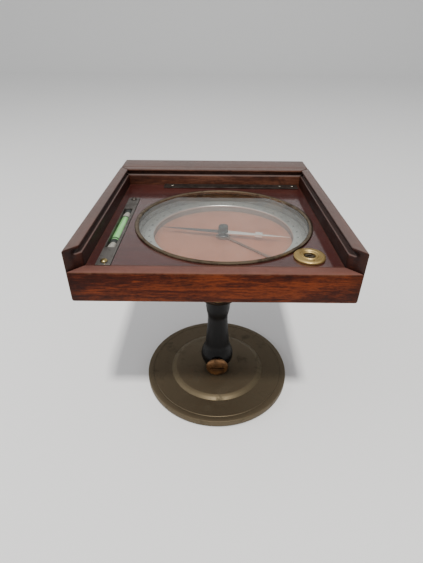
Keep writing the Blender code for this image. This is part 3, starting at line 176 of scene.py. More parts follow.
class Sheet:
    """A new material and the nodes that are written on it."""

    def __init__(self, name: str) -> None:
        """Start a material with one Principled shader.

        Args:
            name: The material's name.
        """
        self.material = bpy.data.materials.new(name)
        self.material.use_nodes = True
        self.tree = self.material.node_tree
        self.shader = self.tree.nodes["Principled BSDF"]
        self.place = self.wire("ShaderNodeTexCoord", output="Object")

    def node(
        self, kind: str, settings: Optional[dict] = None, values: Optional[dict] = None,
    ) -> bpy.types.Node:
        """Add a node.

        Args:
            kind: The node's type.
            settings: Attributes to set first; "stops" fills a colour ramp.
            values: Numbers, colours or wires for its inputs.

        Returns:
            The node.
        """
        node = self.tree.nodes.new(kind)
        for key, value in (settings or {}).items():
            if key == "stops":
                self.fill_ramp(node.color_ramp, value)
            else:
                setattr(node, key, value)
        for key, value in (values or {}).items():
            if isinstance(value, Wire):
                self.tree.links.new(value.socket, node.inputs[key])
            else:
                node.inputs[key].default_value = value
        return node

    @staticmethod
    def fill_ramp(ramp: bpy.types.ColorRamp, stops: Sequence[tuple[float, Triple]]) -> None:
        """Set a colour ramp's stops.

        Args:
            ramp: The ramp.
            stops: Pairs of place and colour.
        """
        while len(ramp.elements) < len(stops):
            ramp.elements.new(1.0)
        for element, (place, colour) in zip(ramp.elements, stops):
            element.position = place
            element.color = (*colour, 1.0)

    def wire(
        self,
        kind: str,
        settings: Optional[dict] = None,
        values: Optional[dict] = None,
        output: Union[int, str] = 0,
    ) -> Wire:
        """Add a node and return one of its outputs.

        Args:
            kind: The node's type.
            settings: Attributes to set first.
            values: Numbers, colours or wires for its inputs.
            output: The output's name or number.

        Returns:
            The output.
        """
        return Wire(self, self.node(kind, settings, values).outputs[output])

    def split(self, vector: Optional[Wire] = None) -> tuple[Wire, Wire, Wire]:
        """Return a vector's three parts.

        Args:
            vector: The vector, or None for the place on the object.

        Returns:
            Wires for X, Y and Z.
        """
        node = self.node("ShaderNodeSeparateXYZ", None, {0: vector or self.place})
        return tuple(Wire(self, socket) for socket in node.outputs)

    def stretched(self, scale: Triple, centre: Triple = (0.0, 0.0, 0.0)) -> Wire:
        """Return the place on the object, moved and scaled.

        Args:
            scale: The scale along each axis.
            centre: The point that becomes the origin, before scaling.

        Returns:
            The mapped vector.
        """
        moved = tuple(-c * s for c, s in zip(centre, scale))
        return self.wire("ShaderNodeMapping", None, {"Vector": self.place, "Location": moved, "Scale": scale})

    def noise(
        self, vector: Wire, scale: float = 1.0, detail: float = 3.0, rough: float = 0.5, bend: float = 0.0,
    ) -> Wire:
        """Return a noise value.

        Args:
            vector: Where to read it.
            scale: Its scale.
            detail: Octaves.
            rough: Weight of the finer octaves.
            bend: Distortion.

        Returns:
            A value around 0.5.
        """
        values = {"Vector": vector, "Scale": scale, "Detail": detail, "Roughness": rough, "Distortion": bend}
        return self.wire("ShaderNodeTexNoise", None, values)

    def ramp(self, value: Wire, stops: Sequence[tuple[float, Triple]]) -> Wire:
        """Return a colour read from a ramp.

        Args:
            value: The place on the ramp.
            stops: Pairs of place and colour.

        Returns:
            The colour.
        """
        return self.wire("ShaderNodeValToRGB", {"stops": stops}, {0: value}, "Color")

    def mix(self, factor: Number, first: Union[Wire, Triple], second: Union[Wire, Triple]) -> Wire:
        """Mix two colours.

        Args:
            factor: 0 for the first, 1 for the second.
            first: A colour or wire.
            second: A colour or wire.

        Returns:
            The mixed colour.
        """
        pair = [c if isinstance(c, Wire) else (*c, 1.0) for c in (first, second)]
        values = {"Factor": factor, 6: pair[0], 7: pair[1]}
        return self.wire("ShaderNodeMix", {"data_type": "RGBA"}, values, 2)

    def bump(self, height: Wire, distance: float, strength: float = 1.0) -> Wire:
        """Return a normal bent by a height.

        Args:
            height: The height, in units of the distance.
            distance: How far a height of 1 stands out, in metres.
            strength: How much of it is used.

        Returns:
            The normal.
        """
        values = {"Height": height, "Distance": distance, "Strength": strength}
        return self.wire("ShaderNodeBump", None, values)

    def finish(self, **sockets: Union[Number, Triple, tuple]) -> bpy.types.Material:
        """Set the Principled shader's sockets.

        Args:
            **sockets: Values or wires; underscores stand for spaces in the sockets' names.

        Returns:
            The material.
        """
        for key, value in sockets.items():
            socket = self.shader.inputs[key.replace("_", " ")]
            if isinstance(value, Wire):
                self.tree.links.new(value.socket, socket)
            elif isinstance(value, tuple):
                socket.default_value = (*value, 1.0)
            else:
                socket.default_value = value
        return self.material


# ---- finishes -------------------------------------------------------------------------------
@dataclass(frozen=True)
class Finish:
    """A named surface. Its material is written once and then shared."""

    name: str

    def material(self) -> bpy.types.Material:
        """Return this finish's material."""
        known = bpy.data.materials.get(self.name)
        return known or self.write(Sheet(self.name))

    def write(self, sheet: Sheet) -> bpy.types.Material:
        """Write the nodes.

        Args:
            sheet: The new material.

        Returns:
            The finished material.
        """
        raise NotImplementedError


@dataclass(frozen=True)
class Wood(Finish):
    """Polished mahogany with grain along one axis, worn edges, grime at the ends, painted sheen on upward
    faces and, if set, painted shade on faces that point one way.
    """

    grain: Axis = Axis.X
    dark: Triple = (0.010, 0.0026, 0.0018)
    middle: Triple = (0.050, 0.0092, 0.0032)
    light: Triple = (0.115, 0.024, 0.0072)
    worn: Triple = (0.13, 0.062, 0.034)
    # painted sheen: upward faces are lightened towards this colour, by the share dust, as if lit from above
    dusty: Triple = (0.140, 0.104, 0.094)
    dust: float = 0.85
    grime: float = 0.55
    wear: float = 0.5
    polish: float = 0.36
    coat: float = 0.0
    gloss: float = 0.22
    centre: Triple = (0.0, 0.0, 0.0)
    half: Triple = (1.0, 1.0, 1.0)
    seam: Optional[Triple] = None
    # painted shade: faces whose normal points this way are darkened
    shaded: Optional[Triple] = None

    def write(self, sheet: Sheet) -> bpy.types.Material:
        """Write grain, pores, wear, grime, painted shade, painted sheen and polish.

        Args:
            sheet: The new material.

        Returns:
            The finished material.
        """
        along, across = 1.0, 9.0
        scale = [across] * 3
        scale[self.grain.value] = along
        shift = tuple(c + 0.37 * h for c, h in zip(self.centre, self.half))
        place = sheet.stretched(tuple(scale), shift)
        figure = sheet.noise(place, 9.0, 5.0, 0.55, 0.9)
        streaks = sheet.noise(place, 95.0, 4.0, 0.6, 0.25)
        fibres = sheet.noise(place, 420.0, 2.0, 0.5)
        tone = figure * 0.50 + streaks * 0.34 + fibres * 0.16
        colour = sheet.ramp(tone, [
            (0.30, self.dark), (0.46, self.middle), (0.56, self.light), (0.72, self.middle),
        ])
        pores = sheet.noise(place, 260.0, 2.0, 0.4).between(0.60, 0.70)
        colour = sheet.mix(pores * 0.55, colour, self.dark)
        stains = sheet.noise(sheet.place, 34.0, 4.0, 0.6, 0.6).between(0.50, 0.68)
        colour = sheet.mix(stains * self.grime, colour, tuple(0.45 * c for c in self.dark))
        inside = [abs(p - c) - h for p, c, h in zip(sheet.split(), self.centre, self.half)]
        low, high = inside[0].least(inside[1]), inside[0].most(inside[1])
        edge = low.most(high.least(inside[2]))
        patchy = sheet.noise(sheet.place, 210.0, 4.0, 0.65)
        rubbed = (edge + (patchy - 0.5) * 0.0032).between(-0.0016, -0.0003)
        colour = sheet.mix(rubbed * self.wear, colour, self.worn)
        long_part = inside[self.grain.value]
        soiled = (long_part + (patchy - 0.5) * 0.012).between(-0.016, 0.0)
        colour = sheet.mix(soiled * self.grime, colour, tuple(0.5 * c for c in self.dark))
        facing = sheet.split(sheet.wire("ShaderNodeTexCoord", output="Normal"))
        # painted shade on faces that point the shaded way
        if self.shaded:
            inward = facing[0] * self.shaded[0] + facing[1] * self.shaded[1] + facing[2] * self.shaded[2]
            colour = sheet.mix(inward.between(0.3, 0.9) * 0.80, colour, (0.0075, 0.0040, 0.0042))
        # painted sheen: upward faces lightened, as if lit from above
        upward = facing[2]
        painted_top_sheen = upward.between(0.55, 0.95) * (0.62 + patchy * 0.5) * self.dust
        colour = sheet.mix(painted_top_sheen.least(1.0), colour, self.dusty)
        if self.seam:
            x, y, _ = sheet.split()
            start, end, line = self.seam
            crack = (abs(y - line) < 0.00022) * (x > start) * (x < end)
            colour = sheet.mix(crack * 0.85, colour, (0.012, 0.004, 0.003))
        scratches = sheet.noise(sheet.stretched((60.0, 900.0, 60.0)), 1.6, 2.0, 0.5).between(0.66, 0.72)
        roughness = self.polish + streaks * 0.10 + pores * 0.14 + rubbed * 0.22 + scratches * 0.10
        height = fibres * 0.35 + streaks * 0.4 - pores * 0.9 - rubbed * 0.6
        return sheet.finish(
            Base_Color=colour, Roughness=roughness, Specular_IOR_Level=self.gloss, Coat_Weight=self.coat,
            Coat_Roughness=0.10, Normal=sheet.bump(height, 0.00010, 0.55))


@dataclass(frozen=True)
class Metal(Finish):
    """Metal with tarnish, small scratches and, if it has an axis, turning marks and painted highlight bands.
    """

    bright: Triple = (0.62, 0.45, 0.18)
    tarnish: Triple = (0.16, 0.10, 0.04)
    amount: float = 0.5
    roughness: float = 0.32
    metallic: float = 1.0
    turned_about: Optional[Triple] = None
    facing: Axis = Axis.Z
    brushed: Optional[Axis] = None
    ring_scale: float = 2600.0
    # bands: rings about the axis lightened towards lit, as painted highlights
    bands: tuple[tuple[float, float, float], ...] = ()
    lit: Triple = (0.5, 0.4, 0.2)

    def marks(self, sheet: Sheet) -> Wire:
        """Return the tool's marks: rings, brushing or a fine grain.

        Args:
            sheet: The new material.

        Returns:
            A value around 0.5.
        """
        if self.turned_about:
            radius = self.radius(sheet)
            wobble = sheet.noise(sheet.place, 90.0, 2.0, 0.5) * 0.0006
            line = sheet.wire("ShaderNodeCombineXYZ", None, {0: (radius + wobble) * self.ring_scale})
            return sheet.noise(line, 1.0, 3.0, 0.7)
        if self.brushed is not None:
            scale = [1600.0] * 3
            scale[self.brushed.value] = 24.0
            return sheet.noise(sheet.stretched(tuple(scale)), 1.0, 3.0, 0.6)
        return sheet.noise(sheet.place, 900.0, 3.0, 0.6)

    def radius(self, sheet: Sheet) -> Wire:
        """Return the distance from the turning axis."""
        parts = [p - c for p, c in zip(sheet.split(), self.turned_about)]
        flat = [part for index, part in enumerate(parts) if index != self.facing.value]
        return (flat[0] * flat[0] + flat[1] * flat[1]).math("SQRT")

    def write(self, sheet: Sheet) -> bpy.types.Material:
        """Write marks, tarnish, spots, scratches and painted highlight bands.

        Args:
            sheet: The new material.

        Returns:
            The finished material.
        """
        marks = self.marks(sheet)
        cloud = sheet.noise(sheet.place, 70.0, 5.0, 0.62, 0.5)
        dull = (cloud + (marks - 0.5) * 0.30).between(0.62 - self.amount * 0.36, 0.78 - self.amount * 0.22)
        colour = sheet.mix(dull * 0.85, self.bright, self.tarnish)
        spots = sheet.noise(sheet.place, 520.0, 3.0, 0.55).between(0.64, 0.72)
        colour = sheet.mix(spots * 0.5 * self.amount, colour, tuple(0.4 * c for c in self.tarnish))
        colour = sheet.mix((marks - 0.5).between(0.0, 0.22) * 0.25, colour, self.bright)
        # painted highlight: each band is lightened towards lit
        for low, high, share in self.bands:
            radius = self.radius(sheet)
            band = radius.between(low - 0.0004, low) * (1.0 - radius.between(high, high + 0.0004))
            colour = sheet.mix(band * share, colour, self.lit)
        roughness = self.roughness + dull * 0.20 + spots * 0.12 + (marks - 0.5) * 0.22
        return sheet.finish(
            Base_Color=colour, Roughness=roughness, Metallic=self.metallic,
            Normal=sheet.bump(marks + spots * -0.6, 0.00004, 0.45))


@dataclass(frozen=True)
class Lacquer(Finish):
    """Black lacquer on turned wood, with dust, rubs and a fine ripple."""

    ground: Triple = (0.0024, 0.0020, 0.0023)
    rubbed: Triple = (0.0120, 0.0085, 0.0065)

    def write(self, sheet: Sheet) -> bpy.types.Material:
        """Write the lacquer.

        Args:
            sheet: The new material.

        Returns:
            The finished material.
        """
        rings = sheet.noise(sheet.stretched((30.0, 30.0, 900.0)), 1.0, 3.0, 0.5)
        cloud = sheet.noise(sheet.place, 130.0, 5.0, 0.6, 0.4)
        rub = (cloud * 0.75 + rings * 0.25).between(0.56, 0.70)
        colour = sheet.mix(rub * 0.7, self.ground, self.rubbed)
        dust = sheet.noise(sheet.place, 1500.0, 2.0, 0.5).between(0.60, 0.75)
        colour = sheet.mix(dust * 0.012, colour, (0.20, 0.18, 0.16))
        return sheet.finish(
            Base_Color=colour, Roughness=0.34 + rub * 0.24 + dust * 0.12, Specular_IOR_Level=0.18,
            Normal=sheet.bump(rings * 0.6 + cloud, 0.00008, 0.4))


@dataclass(frozen=True)
class Dial(Finish):
    """A silvered ring divided into degrees."""

    centre: Triple = (0.0, 0.0, 0.0)
    inner: float = 0.0600
    outer: float = 0.0713
    silver: Triple = (0.72, 0.71, 0.67)
    ink: Triple = (0.035, 0.032, 0.028)

    def write(self, sheet: Sheet) -> bpy.types.Material:
        """Write divisions, stains, painted shade at the outer rim and a fine grain.

        Args:
            sheet: The new material.

        Returns:
            The finished material.
        """
        x, y, _ = sheet.split(sheet.stretched((1.0, 1.0, 1.0), self.centre))
        radius = (x * x + y * y).math("SQRT")
        degrees = y.math("ARCTAN2", x) * (180.0 / math.pi)
        lines: Optional[Wire] = None
        for step, reach, width in ((1.0, 0.0018, 0.00007), (5.0, 0.0029, 0.00009), (10.0, 0.0040, 0.00012)):
            turn = (degrees / step + 0.5).math("FRACT") - 0.5
            away = abs(turn) * (step * math.pi / 180.0) * radius
            start = self.outer - 0.0016 - reach
            tick = (away < width) * (radius > start) * (radius < self.outer - 0.0016)
            lines = tick if lines is None else lines.most(tick)
        for rim in (self.outer - 0.0013, self.outer - 0.0018 - 0.0018):
            lines = lines.most(abs(radius - rim) < 0.00008)
        cloud = sheet.noise(sheet.place, 60.0, 5.0, 0.6, 0.4)
        fine = sheet.noise(sheet.place, 1100.0, 3.0, 0.6)
        colour = sheet.ramp(cloud * 0.8 + fine * 0.2, [
            (0.30, (0.58, 0.57, 0.50)), (0.48, self.silver),
            (0.62, (0.77, 0.76, 0.73)), (0.78, (0.60, 0.57, 0.50)),
        ])
        colour = sheet.mix(lines * 0.72, colour, self.ink)
        # painted shade at the outer rim, where the ring meets the bowl wall
        rim_shade = radius.between(self.outer - 0.0012, self.outer)
        colour = sheet.mix(rim_shade * 0.5, colour, (0.12, 0.10, 0.08))
        return sheet.finish(
            Base_Color=colour, Roughness=0.22 + cloud * 0.16, Metallic=0.85,
            Normal=sheet.bump(fine * 0.4 - lines, 0.00005, 0.5))


@dataclass(frozen=True)
class Card(Finish):
    """A salmon-coloured card with faint rays."""

    centre: Triple = (0.0, 0.0, 0.0)
    salmon: Triple = (0.60, 0.232, 0.138)

    def write(self, sheet: Sheet) -> bpy.types.Material:
        """Write rays, rings, a cloudy tone, painted shade towards the edge and a paper grain.

        Args:
            sheet: The new material.

        Returns:
            The finished material.
        """
        x, y, _ = sheet.split(sheet.stretched((1.0, 1.0, 1.0), self.centre))
        radius = (x * x + y * y).math("SQRT")
        degrees = y.math("ARCTAN2", x) * (180.0 / math.pi)
        turn = (degrees / 22.5 + 0.5).math("FRACT") - 0.5
        away = abs(turn) * (22.5 * math.pi / 180.0) * radius
        rays = (away < 0.00009) * (radius > 0.010) * (radius < 0.057)
        rings = (abs(radius - 0.0570) < 0.0001).most(abs(radius - 0.0100) < 0.0001)
        cloud = sheet.noise(sheet.place, 45.0, 5.0, 0.6, 0.5)
        fine = sheet.noise(sheet.place, 1300.0, 3.0, 0.6)
        tone = cloud * 0.75 + fine * 0.25
        colour = sheet.ramp(tone, [
            (0.30, (0.46, 0.165, 0.098)), (0.50, self.salmon), (0.72, (0.68, 0.30, 0.19)),
        ])
        colour = sheet.mix(rays.most(rings) * 0.28, colour, (0.20, 0.09, 0.06))
        # painted shade towards the card's edge
        edge = radius.between(0.052, 0.060)
        colour = sheet.mix(edge * 0.35, colour, (0.40, 0.20, 0.14))
        return sheet.finish(
            Base_Color=colour, Roughness=0.40 + cloud * 0.16, Metallic=0.35,
            Normal=sheet.bump(fine, 0.00003, 0.35))


@dataclass(frozen=True)
class ClearGlass(Finish):
    """A thin pane that mirrors more at a low angle, with a little dust."""

    def write(self, sheet: Sheet) -> bpy.types.Material:
        """Write the pane.

        Args:
            sheet: The new material.

        Returns:
            The finished material.
        """
        sheet.finish(Base_Color=(0.93, 0.95, 0.93), Roughness=0.04, Specular_IOR_Level=0.5)
        dust = sheet.noise(sheet.place, 380.0, 4.0, 0.65).between(0.55, 0.80)
        smear = sheet.noise(sheet.place, 40.0, 4.0, 0.6, 0.8).between(0.45, 0.75)
        facing = sheet.wire("ShaderNodeLayerWeight", None, {"Blend": 0.5}, "Facing")
        straight_on, at_edge = 0.095, 0.9
        mirror = facing.math("POWER", 5.0) * at_edge + straight_on
        share = (mirror + dust * 0.012 + smear * 0.016).least(1.0)
        mirrored = {"Color": (0.96, 0.97, 0.96, 1.0), "Roughness": 0.05}
        gloss = sheet.node("ShaderNodeBsdfGlossy", None, mirrored)
        clear = sheet.node("ShaderNodeBsdfTransparent", None, {"Color": (0.96, 0.975, 0.965, 1.0)})
        mixed = sheet.node("ShaderNodeMixShader", None, {
            0: share, 1: Wire(sheet, clear.outputs[0]), 2: Wire(sheet, gloss.outputs[0]),
        })
        out = sheet.tree.nodes["Material Output"]
        sheet.tree.links.new(mixed.outputs[0], out.inputs["Surface"])
        return sheet.material


@dataclass(frozen=True)
class Spirit(Finish):
    """The level's tube: glass over bright green spirit, with a painted glow."""

    green: Triple = (0.22, 0.52, 0.19)

    def write(self, sheet: Sheet) -> bpy.types.Material:
        """Write the tube.

        Args:
            sheet: The new material.

        Returns:
            The finished material.
        """
        cloud = sheet.noise(sheet.stretched((200.0, 40.0, 200.0)), 1.0, 3.0, 0.5)
        colour = sheet.ramp(cloud, [
            (0.30, (0.15, 0.39, 0.13)), (0.55, self.green), (0.80, (0.36, 0.66, 0.30)),
        ])
        # painted glow: the spirit emits its own colour, though it is no lamp
        return sheet.finish(
            Base_Color=colour, Roughness=0.16 + cloud * 0.08, Coat_Weight=0.6, Coat_Roughness=0.06,
            Emission_Color=colour, Emission_Strength=0.25, Normal=sheet.bump(cloud, 0.00003, 0.2))


@dataclass(frozen=True)
class PlugEnd(Finish):
    """A vial's plug, dark on one side of a line across the case and chalky on the other."""

    line: float = 0.0
    dark_in_front: bool = False
    dark: Triple = (0.014, 0.022, 0.020)
    chalk: Triple = (0.34, 0.33, 0.29)

    def write(self, sheet: Sheet) -> bpy.types.Material:
        """Write the two tones.

        Args:
            sheet: The new material.

        Returns:
            The finished material.
        """
        fine = sheet.noise(sheet.place, 900.0, 3.0, 0.6)
        behind = sheet.split()[1].between(self.line - 0.0002, self.line + 0.0002)
        pair = (self.dark, self.chalk) if self.dark_in_front else (self.chalk, self.dark)
        colour = sheet.mix(behind, pair[0], pair[1])
        colour = sheet.mix(fine.between(0.4, 0.7) * 0.4, colour, (0.09, 0.08, 0.065))
        return sheet.finish(
            Base_Color=colour, Roughness=0.5 + fine * 0.3, Normal=sheet.bump(fine, 0.00008, 0.6))


@dataclass(frozen=True)
class Matt(Finish):
    """A matt ground with a fine grain: plaster, felt, ink or thread."""

    ground: Triple = (0.6, 0.6, 0.56)
    shade: Triple = (0.3, 0.29, 0.26)
    grain: float = 700.0
    roughness: float = 0.8
    depth: float = 0.00008

    def write(self, sheet: Sheet) -> bpy.types.Material:
        """Write the grain.

        Args:
            sheet: The new material.

        Returns:
            The finished material.
        """
        fine = sheet.noise(sheet.place, self.grain, 3.0, 0.6)
        cloud = sheet.noise(sheet.place, self.grain * 0.12, 3.0, 0.6)
        colour = sheet.mix((fine * 0.6 + cloud * 0.4).between(0.35, 0.65), self.shade, self.ground)
        return sheet.finish(
            Base_Color=colour, Roughness=self.roughness + fine * 0.1,
            Normal=sheet.bump(fine, self.depth, 0.7))


# ---- workshop -------------------------------------------------------------------------------
def deselect() -> None:
    """Leave edit mode if need be, and select nothing."""
    if bpy.context.object is not None and bpy.context.object.mode != "OBJECT":
        bpy.ops.object.mode_set(mode="OBJECT")
    bpy.ops.object.select_all(action="DESELECT")


def pick(obj: bpy.types.Object) -> None:
    """Select one object and make it active."""
    deselect()
    bpy.context.view_layer.objects.active = obj
    obj.select_set(True)


def fresh(name: str) -> bpy.types.Object:
    """Name the object that an operator just made, and return it."""
    obj = bpy.context.object
    obj.name = obj.data.name = name
    return obj


@contextmanager
def editing(obj: bpy.types.Object) -> Iterator[bpy.types.Object]:
    """Work on one object in edit mode, with nothing selected in it at first.

    Args:
        obj: The object.

    Yields:
        The object.
    """
    pick(obj)
    bpy.ops.object.mode_set(mode="EDIT")
    bpy.ops.mesh.select_mode(type="VERT")
    bpy.ops.mesh.select_all(action="DESELECT")
    yield obj
    bpy.ops.object.mode_set(mode="OBJECT")


def settle(obj: bpy.types.Object) -> bpy.types.Object:
    """Apply an object's place, turn and scale to its mesh.

    Args:
        obj: The object.

    Returns:
        The same object, at the origin.
    """
    pick(obj)
    bpy.ops.object.transform_apply(location=True, rotation=True, scale=True)
    return obj


def start_box(name: str, low: Sequence[float], high: Sequence[float]) -> bpy.types.Object:
    """Start a piece as a cube of its outside size.

    Args:
        name: The piece's name.
        low: Its lowest corner.
        high: Its highest corner.

    Returns:
        The object.
    """
    low, high = Vector(low), Vector(high)
    deselect()
    bpy.ops.mesh.primitive_cube_add(size=1.0, location=(low + high) / 2, scale=high - low)
    return settle(fresh(name))


def start_rod(
    name: str, radius: float, low: Sequence[float], high: Sequence[float], sides: int = 48,
) -> bpy.types.Object:
    """Start a piece as a cylinder between two points.

    Args:
        name: The piece's name.
        radius: Its radius.
        low: One end.
        high: The other end.
        sides: Its number of sides.

    Returns:
        The object.
    """
    low, high = Vector(low), Vector(high)
    axis = high - low
    turn = Vector((0, 0, 1)).rotation_difference(axis.normalized()).to_euler()
    deselect()
    bpy.ops.mesh.primitive_cylinder_add(
        vertices=sides, radius=radius, depth=axis.length, location=(low + high) / 2, rotation=turn)
    return settle(fresh(name))


def drill(
    names: Sequence[str], radius: float, low: float, high: float, sides: int = 48,
) -> list[bpy.types.Object]:
    """Make an upright drill at the middle of each named node.

    Args:
        names: The screws that go into the holes.
        radius: The drill's radius.
        low: Height of the plate's underside.
        high: Height of its top.
        sides: The drill's number of sides.

    Returns:
        The drills, for carve.
    """
    drills = []
    for name in names:
        spot = middle(name)
        ends = (spot.x, spot.y, low - THROUGH), (spot.x, spot.y, high + THROUGH)
        drills.append(start_rod(f"{name}_hole", radius, *ends, sides))
    return drills


def apply_modifier(
    obj: bpy.types.Object, kind: str, **settings: Union[float, int, str, bpy.types.Object],
) -> None:
    """Add a modifier and apply it.

    Args:
        obj: The object.
        kind: The modifier's type.
        **settings: Its settings.
    """
    pick(obj)
    modifier = obj.modifiers.new(kind.lower(), kind)
    for key, value in settings.items():
        setattr(modifier, key, value)
    bpy.ops.object.modifier_apply(modifier=modifier.name)


def round_edges(
    obj: bpy.types.Object, width: float, segments: int = 3, angle: float = 30.0,
) -> bpy.types.Object:
    """Round every edge sharper than an angle.

    Args:
        obj: The object.
        width: The rounding's width.
        segments: Its segments.
        angle: The angle in degrees.

    Returns:
        The same object.
    """
    apply_modifier(
        obj, "BEVEL", width=width, segments=segments, limit_method="ANGLE", angle_limit=math.radians(angle),
        use_clamp_overlap=True, miter_outer="MITER_ARC", harden_normals=False)
    return obj


def carve(obj: bpy.types.Object, tools: Sequence[bpy.types.Object]) -> bpy.types.Object:
    """Cut tools out of an object and discard them.

    Args:
        obj: The object.
        tools: The cutting objects.

    Returns:
        The same object.
    """
    for tool in tools:
        apply_modifier(obj, "BOOLEAN", operation="DIFFERENCE", solver="EXACT", object=tool)
        bpy.data.objects.remove(tool, do_unlink=True)
    return obj


def smooth(obj: bpy.types.Object, angle: float = 32.0) -> bpy.types.Object:
    """Shade an object smooth except at its sharp edges.

    Args:
        obj: The object.
        angle: The angle in degrees past which an edge stays sharp.

    Returns:
        The same object.
    """
    pick(obj)
    bpy.ops.object.shade_smooth_by_angle(angle=math.radians(angle))
    return obj


def turned(
    name: str,
    profile: Sequence[Point],
    centre: Sequence[float] = (0.0, 0.0, 0.0),
    steps: int = 96,
    facing: Facing = Facing.UP,
) -> bpy.types.Object:
    """Turn a piece on a lathe by extruding its outline and spinning it.

    Args:
        name: The piece's name.
        profile: (radius, height) points; a profile off the axis is closed into a ring.
        centre: The point on the axis that heights are counted from.
        steps: Steps in a full turn.
        facing: Which way the top points.

    Returns:
        The object.
    """
    deselect()
    bpy.ops.mesh.primitive_plane_add(size=0.001)
    obj = fresh(name)
    points = list(profile)
    if points[0][0] > 0.0:
        points.append(points[0])
    with editing(obj):
        bpy.ops.mesh.select_all(action="SELECT")
        bpy.ops.mesh.merge(type="CENTER")
        bpy.ops.transform.translate(value=(points[0][0], 0.0, points[0][1]))
        for (from_r, from_z), (to_r, to_z) in zip(points, points[1:]):
            step = (to_r - from_r, 0.0, to_z - from_z)
            bpy.ops.mesh.extrude_region_move(TRANSFORM_OT_translate={"value": step})
        bpy.ops.mesh.select_all(action="SELECT")
        bpy.ops.mesh.spin(steps=steps, angle=math.tau, center=(0, 0, 0), axis=(0, 0, 1))
        bpy.ops.mesh.select_all(action="SELECT")
        bpy.ops.mesh.remove_doubles(threshold=0.000002)
        bpy.ops.mesh.normals_make_consistent(inside=False)
    obj.rotation_euler.x = math.radians(facing.value)
    obj.location = centre
    settle(obj)
    return smooth(obj)


def arc(radius: float, start: float, end: float, pieces: int, centre: float = 0.0) -> list[Point]:
    """Return points on a ball about the axis.

    Args:
        radius: The ball's radius.
        start: First angle in degrees, from straight down.
        end: Last angle.
        pieces: Number of pieces.
        centre: Height of the ball's centre.

    Returns:
        (radius, height) points.
    """
    points: list[Point] = []
    for index in range(pieces + 1):
        angle = math.radians(start + (end - start) * index / pieces)
        across = max(0.0, radius * math.sin(angle)) if 0 < angle < 3.1415 else 0.0
        points.append((across, centre - radius * math.cos(angle)))
    return points


def flowing(points: Sequence[Point], pieces: int = 4) -> list[Point]:
    """Return a smooth line through points.

    Args:
        points: (radius, height) points.
        pieces: Pieces between two points.

    Returns:
        More points, on a curve through the given ones.
    """
    ends = [points[0], *points, points[-1]]
    line: list[Point] = []
    for index in range(len(points) - 1):
        a, b, c, d = (Vector(p) for p in ends[index:index + 4])
        for step in range(pieces):
            t = step / pieces
            squared, cubed = 2 * a - 5 * b + 4 * c - d, 3 * b - a - 3 * c + d
            spot = 0.5 * ((2 * b) + (c - a) * t + squared * t * t + cubed * t ** 3)
            line.append((spot.x, spot.y))
    line.append(tuple(points[-1]))
    return line


def turn_about(obj: bpy.types.Object, centre: Sequence[float], degrees: float) -> bpy.types.Object:
    """Turn a piece about an upright axis.

    Args:
        obj: The object.
        centre: A point on the axis.
        degrees: The angle.

    Returns:
        The same object.
    """
    with editing(obj):
        bpy.ops.mesh.select_all(action="SELECT")
        turn = Matrix.Translation(centre) @ Matrix.Rotation(math.radians(degrees), 4, "Z")
        turn = turn @ Matrix.Translation(-Vector(centre))
        bpy.ops.object.mode_set(mode="OBJECT")
        obj.data.transform(turn)
        bpy.ops.object.mode_set(mode="EDIT")
    return obj


def place_piece(
    obj: bpy.types.Object,
    finish: Finish,
    body: str,
    nodes: Sequence[str] = (),
) -> bpy.types.Object:
    """Dress a finished piece and put it on its body.

    Args:
        obj: The piece.
        finish: Its finish.
        body: The body that it moves with.
        nodes: The measured nodes that it stands for.

    Returns:
        The same piece.
    """
    obj.data.materials.clear()
    obj.data.materials.append(finish.material())
    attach(obj, body)
    if nodes:
        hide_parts(*nodes)
    log.info("%s on %s, %d faces", obj.name, body, len(obj.data.polygons))
    return obj


def dress_node(name: str, finish: Finish) -> None:
    """Give a measured node that stays in view a finish.

    Args:
        name: The node's name.
        finish: The finish.
    """
    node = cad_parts[name]
    node.data.materials.clear()
    node.data.materials.append(finish.material())
    log.info("%s dressed as %s", name, finish.name)


def middle(node: str) -> Vector:
    """Return the middle of a node's box."""
    low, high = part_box(node)
    return (low + high) / 2


def slotted_head(
    name: str,
    head: float,
    height: float,
    shank: float,
    length: float,
    place: Sequence[float],
    angle: float = 0.0,
    slot: float = 0.0004,
    under: bool = False,
) -> bpy.types.Object:
    """Make a round-headed slotted screw.

    Args:
        name: The piece's name.
        head: The head's radius.
        height: The head's height.
        shank: The shank's radius.
        length: The shank's length.
        place: The centre of the head's underside.
        angle: The slot's angle in degrees.
        slot: Half of the slot's width.
        under: True if the head points down.

    Returns:
        The object.
    """
    crown = flowing([
        (0.0, height), (head * 0.45, height * 0.95), (head * 0.82, height * 0.62), (head, height * 0.12)], 3)
    profile = [
        *crown, (head, 0.0), (shank, 0.0), (shank, -length * 0.75), (shank * 0.45, -length), (0.0, -length)]
    screw = turned(name, profile, (0, 0, 0), 28)
    cutter = start_box(f"{name}_slot", (-head * 1.3, -slot, height * 0.42), (head * 1.3, slot, height * 2))
    carve(screw, [turn_about(cutter, (0, 0, 0), angle)])
    tip = math.pi if under else 0.0
    screw.data.transform(Matrix.Translation(place) @ Matrix.Rotation(tip, 4, "X"))
    return smooth(screw)


